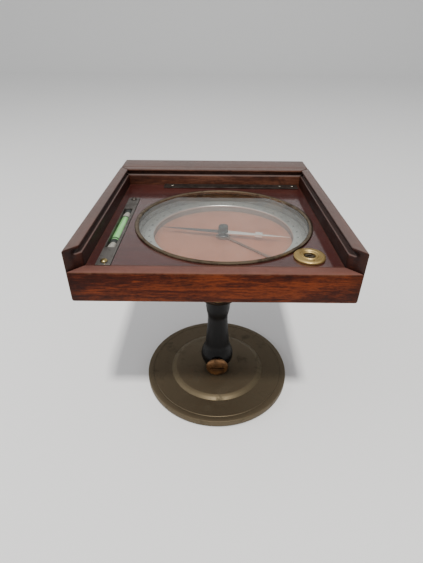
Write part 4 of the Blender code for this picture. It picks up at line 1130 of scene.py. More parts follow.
# ---- stand ----------------------------------------------------------------------------------
@dataclass
class Stand:
    """The round base and the turned column with its clamp screw."""

    rim: float = 0.0766
    rim_height: float = 0.0085
    plate: float = 0.0455
    slope: float = 0.0050
    stud: float = 0.0039
    clamp_head: float = 0.0116
    column_top: float = 0.0126
    neck: float = 0.0103
    bulb: float = 0.0172
    foot: float = 0.0116
    # the bronze's bands paint highlights on the chamfer and the rim
    bronze: Metal = Metal(
        "aged_bronze", (0.112, 0.086, 0.052), (0.082, 0.064, 0.040), 0.26, 0.48, 0.80,
        turned_about=(0.0, 0.0, 0.0), bands=((0.0455, 0.0506, 0.14), (0.0752, 0.0770, 0.04)),
        lit=(0.17, 0.135, 0.062))
    black: Lacquer = Lacquer("worn_lacquer")
    brass: Metal = Metal("worn_brass", (0.34, 0.225, 0.085), (0.085, 0.050, 0.020), 0.62, 0.34)

    def build(self) -> None:
        """Build and dress the whole stand."""
        self.build_base()
        self.build_column()
        self.build_clamp()
        dress_node("swivel_post", Metal("grey_steel", (0.42, 0.42, 0.42), (0.12, 0.11, 0.10), 0.4, 0.4))
        dress_node("post_nut", Metal("grey_steel"))
        dress_node("clamp_bush", self.brass)

    def build_base(self) -> None:
        """Turn the base disc and the felt under it."""
        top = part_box("base_disc")[1].z
        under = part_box("base_disc")[0].z
        lip = 0.0009
        disc = turned("base_plate", [
            (self.stud, top), (self.plate - lip, top), *flowing([
                (self.plate - 0.3 * lip, top - 0.0002), (self.plate + self.slope * 0.5, top - 0.0013),
                (self.plate + self.slope, self.rim_height)], 3),
            (self.rim - 0.0068, self.rim_height), (self.rim - 0.0064, self.rim_height - 0.0003),
            (self.rim - 0.0060, self.rim_height), (self.rim - 0.0014, self.rim_height),
            (self.rim - 0.0004, self.rim_height - 0.0004), (self.rim, self.rim_height - 0.0014),
            (self.rim, under + 0.0012), (self.rim - 0.0012, under), (0.0090, under), (0.0090, under + 0.0048),
            (self.stud, under + 0.0048),
        ], steps=160)
        place_piece(disc, self.bronze, "base", ["base_disc"])
        low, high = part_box("base_felt")
        felt = turned("felt_pad", [
            (0.0, high.z), (high.x - 0.0003, high.z), (high.x, high.z - 0.0003), (high.x, low.z + 0.0001),
            (high.x - 0.0002, low.z), (0.0, low.z),
        ], steps=128)
        place_piece(
            felt, Matt("green_baize", (0.045, 0.12, 0.06), (0.02, 0.06, 0.03), 1800.0, 0.9, 0.0002),
            "base", ["base_felt"])

    def build_column(self) -> None:
        """Turn the column and the brass ring at its foot."""
        low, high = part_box("column")
        tall = high.z - low.z
        outline = [(radius, low.z + share * tall) for share, radius in (
            (1.0, self.column_top), (0.93, self.column_top * 0.98), (0.85, self.column_top * 0.93),
            (0.77, self.neck * 1.01), (0.71, self.neck), (0.56, self.neck * 1.07), (0.41, self.neck * 1.18),
            (0.33, self.neck * 1.27), (0.26, self.bulb * 0.89), (0.205, self.bulb * 0.98), (0.16, self.bulb),
            (0.10, self.bulb * 0.95), (0.047, self.bulb * 0.83), (0.0, self.foot))]
        bore, bore_top, tenon = 0.0073, 0.0560, 0.0063
        column = turned("column_shaft", [
            (0.0, high.z - 0.0133), (tenon, high.z - 0.0133), (tenon, high.z), *flowing(outline, 4),
            (bore, low.z), (bore, bore_top), (0.0, bore_top),
        ], steps=112)
        screw_height = middle("clamp_screw").z
        hole = start_rod("bush_hole", 0.0051, (0, -0.03, screw_height), (0, 0, screw_height))
        carve(column, [hole])
        place_piece(smooth(column), self.black, "column", ["column"])
        ring_low, ring_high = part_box("foot_ring")
        ring = turned("foot_collar", [
            (0.0074, ring_high.z), (ring_high.x - 0.0004, ring_high.z), (ring_high.x, ring_high.z - 0.0004),
            (ring_high.x, ring_low.z + 0.0003), (ring_high.x - 0.0003, ring_low.z), (0.0074, ring_low.z),
        ], steps=96)
        place_piece(ring, self.brass, "column", ["foot_ring"])

    def build_clamp(self) -> None:
        """Make the clamp screw with its round slotted head."""
        low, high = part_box("clamp_screw")
        centre = middle("clamp_screw")
        front, back = -low.y, 0.0175
        reach = -high.y
        head = self.clamp_head
        screw = turned("clamp_knob", [
            (0.0, front - 0.0002), (head * 0.30, front - 0.0001), (head * 0.62, front),
            (head * 0.70, front - 0.0003), (head * 0.76, front - 0.0004), (head * 0.90, front - 0.0008),
            (head - 0.0002, front - 0.0014),
            (head, front - 0.0019), (head, back + 0.0005), (head - 0.0004, back), (0.0050, back),
            (0.0030, back - 0.0004), (0.0030, reach + 0.0008), (0.0022, reach), (0.0, reach),
        ], (0, 0, centre.z), 96, Facing.FRONT)
        slot = start_box(
            "clamp_slot", (-head * 0.66, -front - 0.002, centre.z - 0.0007),
            (head * 0.66, -front + 0.0011, centre.z + 0.0007))
        carve(screw, [slot])
        finish = Metal(
            "clamp_brass", (0.25, 0.135, 0.066), (0.060, 0.035, 0.020), 0.55, 0.34,
            turned_about=(0.0, 0.0, centre.z), facing=Axis.Y)
        place_piece(smooth(screw), finish, "clamp_screw", ["clamp_screw"])


# ---- ball head ------------------------------------------------------------------------------
@dataclass
class BallHead:
    """The cup, knurled collar, ball, stem and flange that carry the case."""

    ball_radius: float = 0.0150
    seat: float = 0.0153
    cup: float = 0.0203
    thread: float = 0.0185
    ridges: int = 60
    brass: Metal = Metal("worn_brass")
    dark: Metal = Metal("cup_bronze", (0.046, 0.031, 0.022), (0.014, 0.010, 0.008), 0.6, 0.40)

    def build(self) -> None:
        """Build and dress the whole head."""
        centre = middle("head_ball")
        self.build_cup(centre.z)
        self.build_collar(centre.z)
        ball = turned("socket_ball", list(reversed(arc(self.ball_radius, 0.0, 180.0, 32))), centre, 64)
        place_piece(ball, self.brass, "ball", ["head_ball"])
        self.build_stem(centre.z)

    def build_cup(self, height: float) -> None:
        """Turn the cup.

        Args:
            height: The ball's centre.
        """
        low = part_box("socket_cup")[0].z
        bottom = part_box("column")[1].z + GAP
        rim = height - 0.0010
        thread_low = rim - 0.0095
        ridge = 0.0005
        thread: list[Point] = []
        for turn in range(9):
            thread.append((self.thread, rim - 0.0006 - turn * 0.00098))
            thread.append((self.thread - ridge, rim - 0.0006 - (turn + 0.5) * 0.00098))
        cup = turned("ball_cup", [
            *arc(self.seat, 0.0, 86.2, 18, height), (self.thread - ridge, rim), *thread,
            (self.thread - ridge, thread_low),
            (self.cup - 0.0005, thread_low), (self.cup, thread_low - 0.0005), (self.cup, bottom + 0.0072),
            *flowing([(self.cup, bottom + 0.0065), (self.cup - 0.0016, bottom + 0.0036),
                      (0.0150, bottom + 0.0012), (0.0134, bottom)], 3),
            (0.0060, bottom), (0.0060, low), (0.0, low),
        ], steps=96)
        place_piece(cup, self.dark, "column", ["socket_cup"])

    def build_collar(self, height: float) -> None:
        """Turn the clamping collar and press its knurl.

        Args:
            height: The ball's centre.
        """
        low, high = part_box("clamp_collar")
        outer = high.x
        collar = turned("clamp_ring", [
            (outer - 0.0028, high.z), (outer - 0.0012, high.z), (outer - 0.0004, high.z - 0.0007),
            (outer - 0.0004, high.z - 0.0030), (outer - 0.0010, high.z - 0.0034), (outer, high.z - 0.0040),
            (outer, low.z + 0.0042), (outer - 0.0010, low.z + 0.0036), (outer - 0.0004, low.z + 0.0032),
            (outer - 0.0004, low.z + 0.0006), (outer - 0.0010, low.z), (self.thread + GAP, low.z),
            (self.thread + GAP, height - 0.0007), *arc(self.seat, 87.4, 119.4, 8, height),
            (0.0137, high.z - 0.0003), (0.0142, high.z),
        ], steps=self.ridges * 2)
        with editing(collar):
            bpy.ops.mesh.select_mode(type="FACE")
            bpy.ops.object.mode_set(mode="OBJECT")
            for face in collar.data.polygons:
                spot = face.center
                sector = int(round((math.atan2(spot.y, spot.x) / math.tau) * self.ridges * 2 - 0.5))
                upright = math.hypot(face.normal.x, face.normal.y) > 0.99
                outside = math.hypot(spot.x, spot.y) > outer - 0.0002
                face.select = upright and outside and sector % 2 == 0
            bpy.ops.object.mode_set(mode="EDIT")
            bpy.ops.mesh.inset(thickness=0.00022, depth=-0.00045)
        place_piece(smooth(collar, PLATE_ANGLE), self.brass, "clamp_collar", ["clamp_collar"])

    def build_stem(self, height: float) -> None:
        """Turn the stem and the flange, and drive its screws.

        Args:
            height: The ball's centre.
        """
        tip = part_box("head_stem")[1].z
        low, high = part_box("head_flange")
        stem = turned("ball_stem", [
            (0.0, tip), (0.0040, tip), (0.0040, low.z - GAP), (0.0062, low.z - GAP), (0.0067, low.z - 0.0008),
            (0.0067, low.z - 0.0035), *flowing([
                (0.0066, low.z - 0.0040), (0.0057, low.z - 0.0058), (0.0052, low.z - 0.0110),
                (0.0055, height + 0.0205), (0.0078, height + 0.0168), (0.0080, height + 0.0150)], 4),
            *arc(self.seat, 148.5, 180.0, 6, height),
        ], steps=72)
        place_piece(stem, self.brass, "case", ["head_stem"])
        outer = high.x
        flange = turned("case_flange", [
            (0.0, high.z), (outer - 0.0004, high.z), (outer, high.z - 0.0004), (outer, low.z + 0.0022),
            *flowing([
                (outer - 0.0002, low.z + 0.0016), (outer - 0.0012, low.z + 0.0004), (outer - 0.0030, low.z),
            ], 3),
            (0.0110, low.z), (0.0105, low.z + 0.0003), (0.0100, low.z), (0.0043, low.z), (0.0043, tip + GAP),
            (0.0, tip + GAP),
        ], steps=112)
        screws = [f"flange_screw_{number}" for number in (1, 2, 3)]
        carve(flange, drill(screws, 0.0022, low.z, high.z))
        place_piece(smooth(flange), self.dark, "case", ["head_flange"])
        for number, name in enumerate(screws):
            spot = middle(name)
            screw = slotted_head(
                f"{name}_head", 0.0036, 0.0017, 0.0018, 0.0090, (spot.x, spot.y, low.z - GAP),
                angle=20.0 + 47.0 * number, under=True)
            place_piece(screw, self.brass, "case", [name])


# ---- case -----------------------------------------------------------------------------------
@dataclass
class Case:
    """The mitred mahogany case with its lid grooves, deck and bottom."""

    wall: float = 0.0101
    lip: float = 0.0024
    groove: float = 0.0034
    groove_depth: float = 0.0051
    mitre: float = 0.00042
    ledge: float = 0.0009
    low: Vector = field(default_factory=lambda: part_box("case_front")[0].copy())
    high: Vector = field(default_factory=lambda: Vector(
        (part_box("case_right")[1].x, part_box("case_back")[1].y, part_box("case_back")[1].z)))

    def build(self) -> None:
        """Build and dress the whole case."""
        for side in ("left", "right"):
            self.build_side(side)
        self.build_front()
        self.build_back()
        self.dress_inside()

    def wood(
        self, name: str, grain: Axis, low: Vector, high: Vector, **changes: Union[float, Triple],
    ) -> Wood:
        """Return a wood finish for a board.

        Args:
            name: The finish's name.
            grain: The grain's direction.
            low: The board's lowest corner.
            high: Its highest corner.
            **changes: Other fields.

        Returns:
            The finish.
        """
        return Wood(name, grain, centre=tuple((low + high) / 2), half=tuple((high - low) / 2), **changes)

    def mitred(self, obj: bpy.types.Object, corner: Sequence[float], normal: Sequence[float]) -> None:
        """Saw one end of a board at its mitre.

        Args:
            obj: The board.
            corner: A point on the mitre.
            normal: The side that is sawn off.
        """
        with editing(obj):
            bpy.ops.mesh.select_all(action="SELECT")
            bpy.ops.mesh.bisect(plane_co=corner, plane_no=normal, clear_outer=True, use_fill=True)

    def build_side(self, side: str) -> None:
        """Make a side wall.

        Args:
            side: left or right.
        """
        low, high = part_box(f"case_{side}")
        sign = -1 if side == "left" else 1
        board = start_box(f"wall_{side}", low, high)
        outer_x = low.x if sign < 0 else high.x
        inner_x = outer_x - sign * self.wall
        self.mitred(board, (outer_x, self.low.y + self.mitre, 0), (-sign, -1, 0))
        self.mitred(board, (outer_x, self.high.y - self.mitre, 0), (-sign, 1, 0))
        groove_x = sorted((inner_x + sign * self.groove_depth, inner_x - sign * PAST))
        groove = start_box(
            f"groove_{side}", (groove_x[0], low.y - PAST, high.z - self.lip - self.groove),
            (groove_x[1], high.y + PAST, high.z - self.lip))
        lip_x = sorted((inner_x + sign * self.ledge, inner_x - sign * PAST))
        back_off = start_box(
            f"lip_{side}", (lip_x[0], low.y - PAST, high.z - self.lip - 0.001),
            (lip_x[1], high.y + PAST, high.z + PAST))
        carve(board, [groove, back_off])
        round_edges(board, BOARD_SOFT, 3)
        # painted shade on the wall's inner face
        finish = self.wood(f"mahogany_{side}", Axis.Y, low, high, shaded=(-sign * 1.0, 0.0, 0.0))
        place_piece(smooth(board, BOARD_ANGLE), finish, "case", [f"case_{side}"])

    def build_front(self) -> None:
        """Make the low front wall."""
        low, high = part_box("case_front")
        board = start_box("wall_front", low, high)
        self.mitred(board, (low.x, low.y, 0), (-1, 1, 0))
        self.mitred(board, (high.x, low.y, 0), (1, 1, 0))
        round_edges(board, BOARD_SOFT, 3)
        # the front wall's top gets its own painted sheen colour
        finish = self.wood(
            "mahogany_front", Axis.X, low, high, grime=0.5, gloss=0.10, dark=(0.0075, 0.0018, 0.0012),
            middle=(0.042, 0.0068, 0.0022), light=(0.145, 0.028, 0.0062), dusty=(0.175, 0.082, 0.066))
        place_piece(smooth(board, BOARD_ANGLE), finish, "case", ["case_front"])

    def build_back(self) -> None:
        """Make the back wall, with the sight bar's bolt hole."""
        low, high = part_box("case_back")
        board = start_box("wall_back", low, high)
        self.mitred(board, (low.x, high.y, 0), (-1, -1, 0))
        self.mitred(board, (high.x, high.y, 0), (1, -1, 0))
        groove = start_box(
            "groove_back", (low.x - PAST, low.y - PAST, high.z - self.lip - self.groove),
            (high.x + PAST, low.y + self.groove_depth, high.z - self.lip))
        back_off = start_box(
            "lip_back", (low.x - PAST, low.y - PAST, high.z - self.lip - 0.001),
            (high.x + PAST, low.y + self.ledge, high.z + PAST))
        bolt = middle("sight_bolt")
        ends = (bolt.x, low.y - PAST, bolt.z), (bolt.x, high.y + PAST, bolt.z)
        hole = start_rod("bolt_hole", BOLT_HOLE, *ends)
        carve(board, [groove, back_off, hole])
        round_edges(board, BOARD_SOFT, 3)
        finish = self.wood(
            "mahogany_back", Axis.X, low, high, middle=(0.058, 0.018, 0.0090), light=(0.115, 0.042, 0.022))
        place_piece(smooth(board, BOARD_ANGLE), finish, "case", ["case_back"])

    def dress_inside(self) -> None:
        """Dress the deck, the bottom, the battens and the blocks."""
        low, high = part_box("deck")
        dial = middle("bezel")
        # dust=0.05 lays only a faint painted sheen on the deck
        veneer = self.wood(
            "deck_veneer", Axis.X, low, high, dark=(0.022, 0.0024, 0.0016), middle=(0.040, 0.0046, 0.0030),
            light=(0.055, 0.0080, 0.0056), grime=0.12, wear=0.2, polish=0.26, coat=1.0, gloss=0.3, dust=0.05,
            seam=(low.x + 0.017, dial.x - 0.075, self.low.y + 0.0984))
        dress_node("deck", veneer)
        low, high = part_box("case_bottom")
        dress_node("case_bottom", self.wood("bottom_board", Axis.X, low, high, polish=0.5, grime=0.5))
        plain = Wood("inner_wood", Axis.Y, polish=0.6, wear=0.0, grime=0.3)
        for name in ("deck_batten_left", "deck_batten_right", "level_block_front", "level_block_back"):
            dress_node(name, plain)


# ---- compass --------------------------------------------------------------------------------
@dataclass
class Compass:
    """The bowl, its glass, rings, card and needle."""

    bowl: float = 0.0737
    bowl_wall: float = 0.0021
    rebate: float = 0.0013
    chapter_inner: float = 0.0600
    needle_reach: float = 0.0570
    needle_half: float = 0.0032
    needle_heading: float = -10.0
    cap: float = 0.0043
    bronze: Metal = Metal("bowl_bronze", (0.13, 0.095, 0.055), (0.040, 0.028, 0.017), 0.5, 0.32)
    blued: Metal = Metal("blued_blade", (0.17, 0.165, 0.17), (0.060, 0.058, 0.062), 0.4, 0.34)
    polished: Metal = Metal("polished_steel", (0.93, 0.92, 0.89), (0.60, 0.58, 0.54), 0.25, 0.22, 0.55)
    dial: Vector = field(default_factory=lambda: middle("bezel"))

    def build(self) -> None:
        """Build and dress the whole compass."""
        self.heading = self.lever_heading()
        self.build_bezel()
        self.build_bowl()
        self.build_rings()
        self.build_figures()
        self.build_needle()
        dress_node("glass", ClearGlass("clear_glass"))

    def lever_heading(self) -> float:
        """Return the lever's direction from the dial's centre, in degrees."""
        knob = middle("arrest_knob")
        return math.degrees(math.atan2(knob.y - self.dial.y, knob.x - self.dial.x))

    def at(self, height: float = 0.0) -> Triple:
        """Return the point on the dial's axis at a height."""
        return (self.dial.x, self.dial.y, height)

    def build_bezel(self) -> None:
        """Turn the thin brass bezel."""
        low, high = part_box("bezel")
        outer = (high.x - low.x) / 2
        inner = outer - 0.0033
        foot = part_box("deck")[1].z + GAP
        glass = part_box("glass")[1].z + GAP
        bezel = turned("bezel_ring", [
            (inner + 0.0010, high.z), (outer - 0.0009, high.z), (outer - 0.0003, high.z - 0.0003),
            (outer, high.z - 0.0009), (outer, foot), (self.bowl + 0.0005, foot), (self.bowl + 0.0005, glass),
            (inner, glass), (inner, glass + 0.0003), (inner + 0.0004, high.z - 0.0004),
        ], self.at(), 192)
        finish = Metal(
            "bezel_brass", (0.25, 0.190, 0.125), (0.055, 0.042, 0.030), 0.48, 0.28,
            turned_about=self.at())
        place_piece(bezel, finish, "case", ["bezel"])

    def build_bowl(self) -> None:
        """Turn the bowl and cut the lever's window."""
        low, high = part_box("bowl")
        inner = self.bowl - self.bowl_wall
        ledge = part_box("glass")[0].z - GAP
        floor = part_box("card")[0].z - GAP
        bowl = turned("bowl_shell", [
            (inner + self.rebate, high.z), (self.bowl - 0.0002, high.z), (self.bowl, high.z - 0.0003),
            (self.bowl, low.z + 0.0010), (self.bowl - 0.0010, low.z), (0.0021, low.z), (0.0021, floor),
            (inner, floor), (inner, ledge), (inner + self.rebate, ledge),
        ], self.at(), 160)
        lever = middle("arrest_lever").z
        window = start_box(
            "lever_window", (self.dial.x + inner - 0.004, self.dial.y - 0.0020, lever - 0.0013),
            (self.dial.x + self.bowl + 0.004, self.dial.y + 0.0020, lever + 0.0013))
        carve(bowl, [turn_about(window, self.at(), self.heading)])
        place_piece(smooth(bowl), self.bronze, "case", ["bowl"])

    def build_rings(self) -> None:
        """Turn the chapter ring, the spacer under it, the card and the pivot."""
        low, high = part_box("chapter_ring")
        outer = (high.x - low.x) / 2
        ring = turned("degree_ring", [
            (self.chapter_inner + 0.0003, high.z), (outer, high.z), (outer, low.z),
            (self.chapter_inner, low.z), (self.chapter_inner, high.z - 0.0003),
        ], self.at(), 192)
        silver = Dial("silvered_ring", centre=self.at(), outer=outer)
        place_piece(ring, silver, "case", ["chapter_ring"])
        low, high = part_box("spacer_ring")
        step = turned("step_ring", [
            (self.chapter_inner + 0.0003, high.z), (outer, high.z), (outer, low.z),
            (self.chapter_inner + 0.0003, low.z),
        ], self.at(), 160)
        lever = middle("arrest_lever").z
        window = start_box(
            "fulcrum_window", (self.dial.x + 0.054, self.dial.y - 0.0074, low.z - 0.002),
            (self.dial.x + self.bowl, self.dial.y + 0.0074, lever + 0.0022))
        carve(step, [turn_about(window, self.at(), self.heading)])
        dark = Matt("coppery_step", (0.27, 0.215, 0.19), (0.19, 0.150, 0.13), 500.0, 0.6, 0.00004)
        place_piece(smooth(step), dark, "case", ["spacer_ring"])
        low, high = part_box("card")
        hole = 0.0046
        card = turned("card_disc", [
            (hole, high.z), (self.chapter_inner - 0.0002, high.z), (self.chapter_inner, high.z - 0.0002),
            (self.chapter_inner, low.z), (hole, low.z),
        ], self.at(), 160)
        place_piece(card, Card("salmon_card", centre=self.at()), "case", ["card"])
        low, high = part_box("pivot_pin")
        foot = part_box("card")[1].z + 0.0001
        pin = turned("pivot_point", [
            (0.0, high.z), (0.00025, high.z - 0.0003), (0.0011, high.z - 0.0026), (0.0011, foot + 0.0004),
            (0.0016, foot), (0.0030, foot), (0.0030, low.z + 0.0019), (0.0018, low.z + 0.0019),
            (0.0018, low.z), (0.0, low.z),
        ], self.at(), 32)
        place_piece(pin, self.polished, "case", ["pivot_pin"])

    def build_figures(self) -> None:
        """Set the figures of the degree ring, in quarters from 0 to 90."""
        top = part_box("chapter_ring")[1].z
        radius = 0.0638
        figures: list[bpy.types.Object] = []
        for step in range(36):
            angle = step * 10.0
            shown = angle % 180.0
            shown = shown if shown <= 90.0 else 180.0 - shown
            deselect()
            bpy.ops.object.text_add(location=(0, 0, 0))
            text = bpy.context.object
            text.data.body = str(int(shown))
            text.data.size = 0.0030
            text.data.align_x = "CENTER"
            text.data.align_y = "CENTER"
            text.data.extrude = 0.00002
            text.data.resolution_u = 2
            bpy.ops.object.convert(target="MESH")
            mesh = bpy.context.object
            turn = Matrix.Rotation(math.radians(-angle), 4, "Z")
            place = Matrix.Translation(self.at(top + 0.00002)) @ turn @ Matrix.Translation((0, radius, 0))
            mesh.data.transform(place)
            figures.append(mesh)
        deselect()
        for mesh in figures:
            mesh.select_set(True)
        bpy.context.view_layer.objects.active = figures[0]
        bpy.ops.object.join()
        joined = fresh("ring_figures")
        settle(joined)
        ink = Matt("dial_ink", (0.05, 0.045, 0.04), (0.03, 0.028, 0.025), 900.0, 0.6, 0.00001)
        place_piece(joined, ink, "case")

    def arm(self, name: str, side: int) -> bpy.types.Object:
        """Model one tapering arm of the needle with a ridge along it.

        Args:
            name: The piece's name.
            side: -1 for the left arm, 1 for the right.

        Returns:
            The object.
        """
        low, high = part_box("needle")
        start, count = self.cap * 0.55, 24
        deselect()
        bpy.ops.mesh.primitive_grid_add(x_subdivisions=count, y_subdivisions=4, size=1.0)
        blade = fresh(name)
        ridge = 0.00012
        for vertex in blade.data.vertices:
            share = vertex.co.x + 0.5
            across = vertex.co.y * 2.0
            along = start + (self.needle_reach - start) * share
            half = max(0.00030, self.needle_half * (1.0 - share ** 1.15))
            vertex.co.x = side * along
            vertex.co.y = side * across * half
            vertex.co.z = high.z - ridge * abs(across)
        apply_modifier(blade, "SOLIDIFY", thickness=(high.z - low.z) - ridge, offset=-1.0)
        return blade

    def build_needle(self) -> None:
        """Model the needle's two arms and boss, its cap, weight and lift sleeve."""
        low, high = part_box("needle")
        turn = Matrix.Translation(self.at()) @ Matrix.Rotation(math.radians(self.needle_heading), 4, "Z")
        skirt = 0.0025
        boss = turned("needle_boss", [
            (skirt, high.z), (self.cap - 0.0002, high.z), (self.cap, high.z - 0.0001),
            (self.cap, low.z + 0.0001), (self.cap - 0.0001, low.z), (skirt, low.z),
        ], (0, 0, 0), 48)
        for name, side, finish in (("needle_south", -1, self.blued), ("needle_north", 1, self.polished)):
            blade = self.arm(name, side)
            blade.data.transform(turn)
            if side < 0:
                place_piece(smooth(blade, 12.0), finish, "needle", ["needle"])
            else:
                place_piece(smooth(blade, 12.0), finish, "needle")
        boss.data.transform(turn)
        place_piece(boss, self.blued, "needle")
        low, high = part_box("needle_cap")
        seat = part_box("needle")[1].z + GAP
        top = high.z
        cap = turned("cap_crown", [
            (0.0, top), (self.cap * 0.50, top - 0.0001), (self.cap * 0.62, top - 0.0003),
            (self.cap * 0.85, top - 0.0006),
            (self.cap - 0.0002, top - 0.0012), (self.cap, top - 0.0018), (self.cap, seat + 0.0014),
            (self.cap - 0.0004, seat + 0.0010), (self.cap, seat + 0.0006), (self.cap, seat), (0.0022, seat),
            (0.0022, low.z), (0.0016, low.z), (0.0016, top - 0.0020), (0.0, top - 0.0013),
        ], self.at(), 64)
        finish = Metal(
            "cap_steel", (0.085, 0.105, 0.100), (0.036, 0.044, 0.042), 0.45, 0.24, turned_about=self.at())
        place_piece(cap, finish, "needle", ["needle_cap"])
        dress_node("needle_weight", self.polished)
        low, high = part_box("lift_sleeve")
        sleeve = turned("sleeve_tube", [
            (0.0016, high.z), (0.0027, high.z), (0.0029, high.z - 0.0002), (0.0029, low.z + 0.0012),
            (0.0042, low.z + 0.0011), (0.0044, low.z + 0.0009), (0.0044, low.z), (0.0016, low.z),
        ], self.at(), 48)
        place_piece(sleeve, self.blued, "lift_sleeve", ["lift_sleeve"])


# ---- needle arrest --------------------------------------------------------------------------
@dataclass
class Arrest:
    """The rosette, the slotted knob and the lever under the card's edge."""

    rosette: float = 0.0114
    head: float = 0.0037
    stem: float = 0.0026
    cam: float = 0.0042
    brass: Metal = Metal("rosette_brass", (0.52, 0.37, 0.150), (0.21, 0.140, 0.056), 0.36, 0.50)

    def build(self) -> None:
        """Build and dress the arrest."""
        self.build_rosette()
        self.build_knob()
        dark = Metal("lever_metal", (0.20, 0.15, 0.09), (0.07, 0.05, 0.03), 0.5, 0.4)
        for name in ("arrest_spring", "lever_bearing_left", "lever_bearing_right"):
            dress_node(name, dark)
        copper = Metal("lever_copper", (0.30, 0.165, 0.115), (0.15, 0.080, 0.055), 0.5, 0.45, 0.5)
        dress_node("arrest_lever", copper)

    def build_rosette(self) -> None:
        """Turn the rosette and drill its small hole."""
        low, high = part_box("rosette")
        centre = middle("rosette")
        at = (centre.x, centre.y, 0.0)
        plate = turned("rosette_plate", [
            (0.0043, high.z - 0.0006), (0.0049, high.z - 0.0001), (0.0060, high.z), (0.0064, high.z - 0.0004),
            (0.0069, high.z - 0.0004), (0.0073, high.z), (self.rosette - 0.0016, high.z - 0.0001),
            (self.rosette - 0.0006, high.z - 0.0004), (self.rosette, high.z - 0.0010), (self.rosette, low.z),
            (0.0042, low.z),
        ], at, 112)
        spot = (centre.x + 0.0012, centre.y - 0.0080)
        dimple = start_rod("rosette_dimple", 0.0007, (*spot, high.z - 0.0012), (*spot, high.z + 0.001), 24)
        carve(plate, [dimple])
        place_piece(smooth(plate), self.brass, "case", ["rosette"])

    def build_knob(self) -> None:
        """Turn the slotted knob and plane its cam."""
        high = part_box("arrest_knob")[1]
        centre = middle("rosette")
        at = (centre.x, centre.y, 0.0)
        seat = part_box("rosette")[0].z
        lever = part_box("arrest_lever")[1].z
        cam_middle = lever + 0.0003
        knob = turned("knob_spindle", [
            (0.0, high.z), (self.head * 0.75, high.z), (self.head - 0.0002, high.z - 0.0002),
            (self.head, high.z - 0.0005), (self.head, seat), (self.stem, seat),
            (self.stem, cam_middle + 0.0024),
            (self.cam, cam_middle + 0.0024), (self.cam, cam_middle - 0.0010), (0.0, cam_middle - 0.0010),
        ], at, 64)
        dial = middle("bezel")
        heading = math.atan2(centre.y - dial.y, centre.x - dial.x) + math.pi / 2
        slope = start_box("cam_slope", (-0.02, -0.02, -0.02), (0.02, 0.02, 0.0))
        tilt = Matrix.Rotation(heading, 4, "Z") @ Matrix.Rotation(math.atan(0.12), 4, "Y")
        slope.data.transform(Matrix.Translation((centre.x, centre.y, cam_middle)) @ tilt)
        slot = start_box(
            "knob_slot", (centre.x - 0.008, centre.y - 0.0006, high.z - 0.0009),
            (centre.x + 0.008, centre.y + 0.0006, 0.3))
        carve(knob, [slope, turn_about(slot, at, 25.0)])
        dark = Metal("knob_metal", (0.13, 0.10, 0.065), (0.035, 0.027, 0.018), 0.6, 0.4)
        place_piece(smooth(knob), dark, "arrest_knob", ["arrest_knob"])


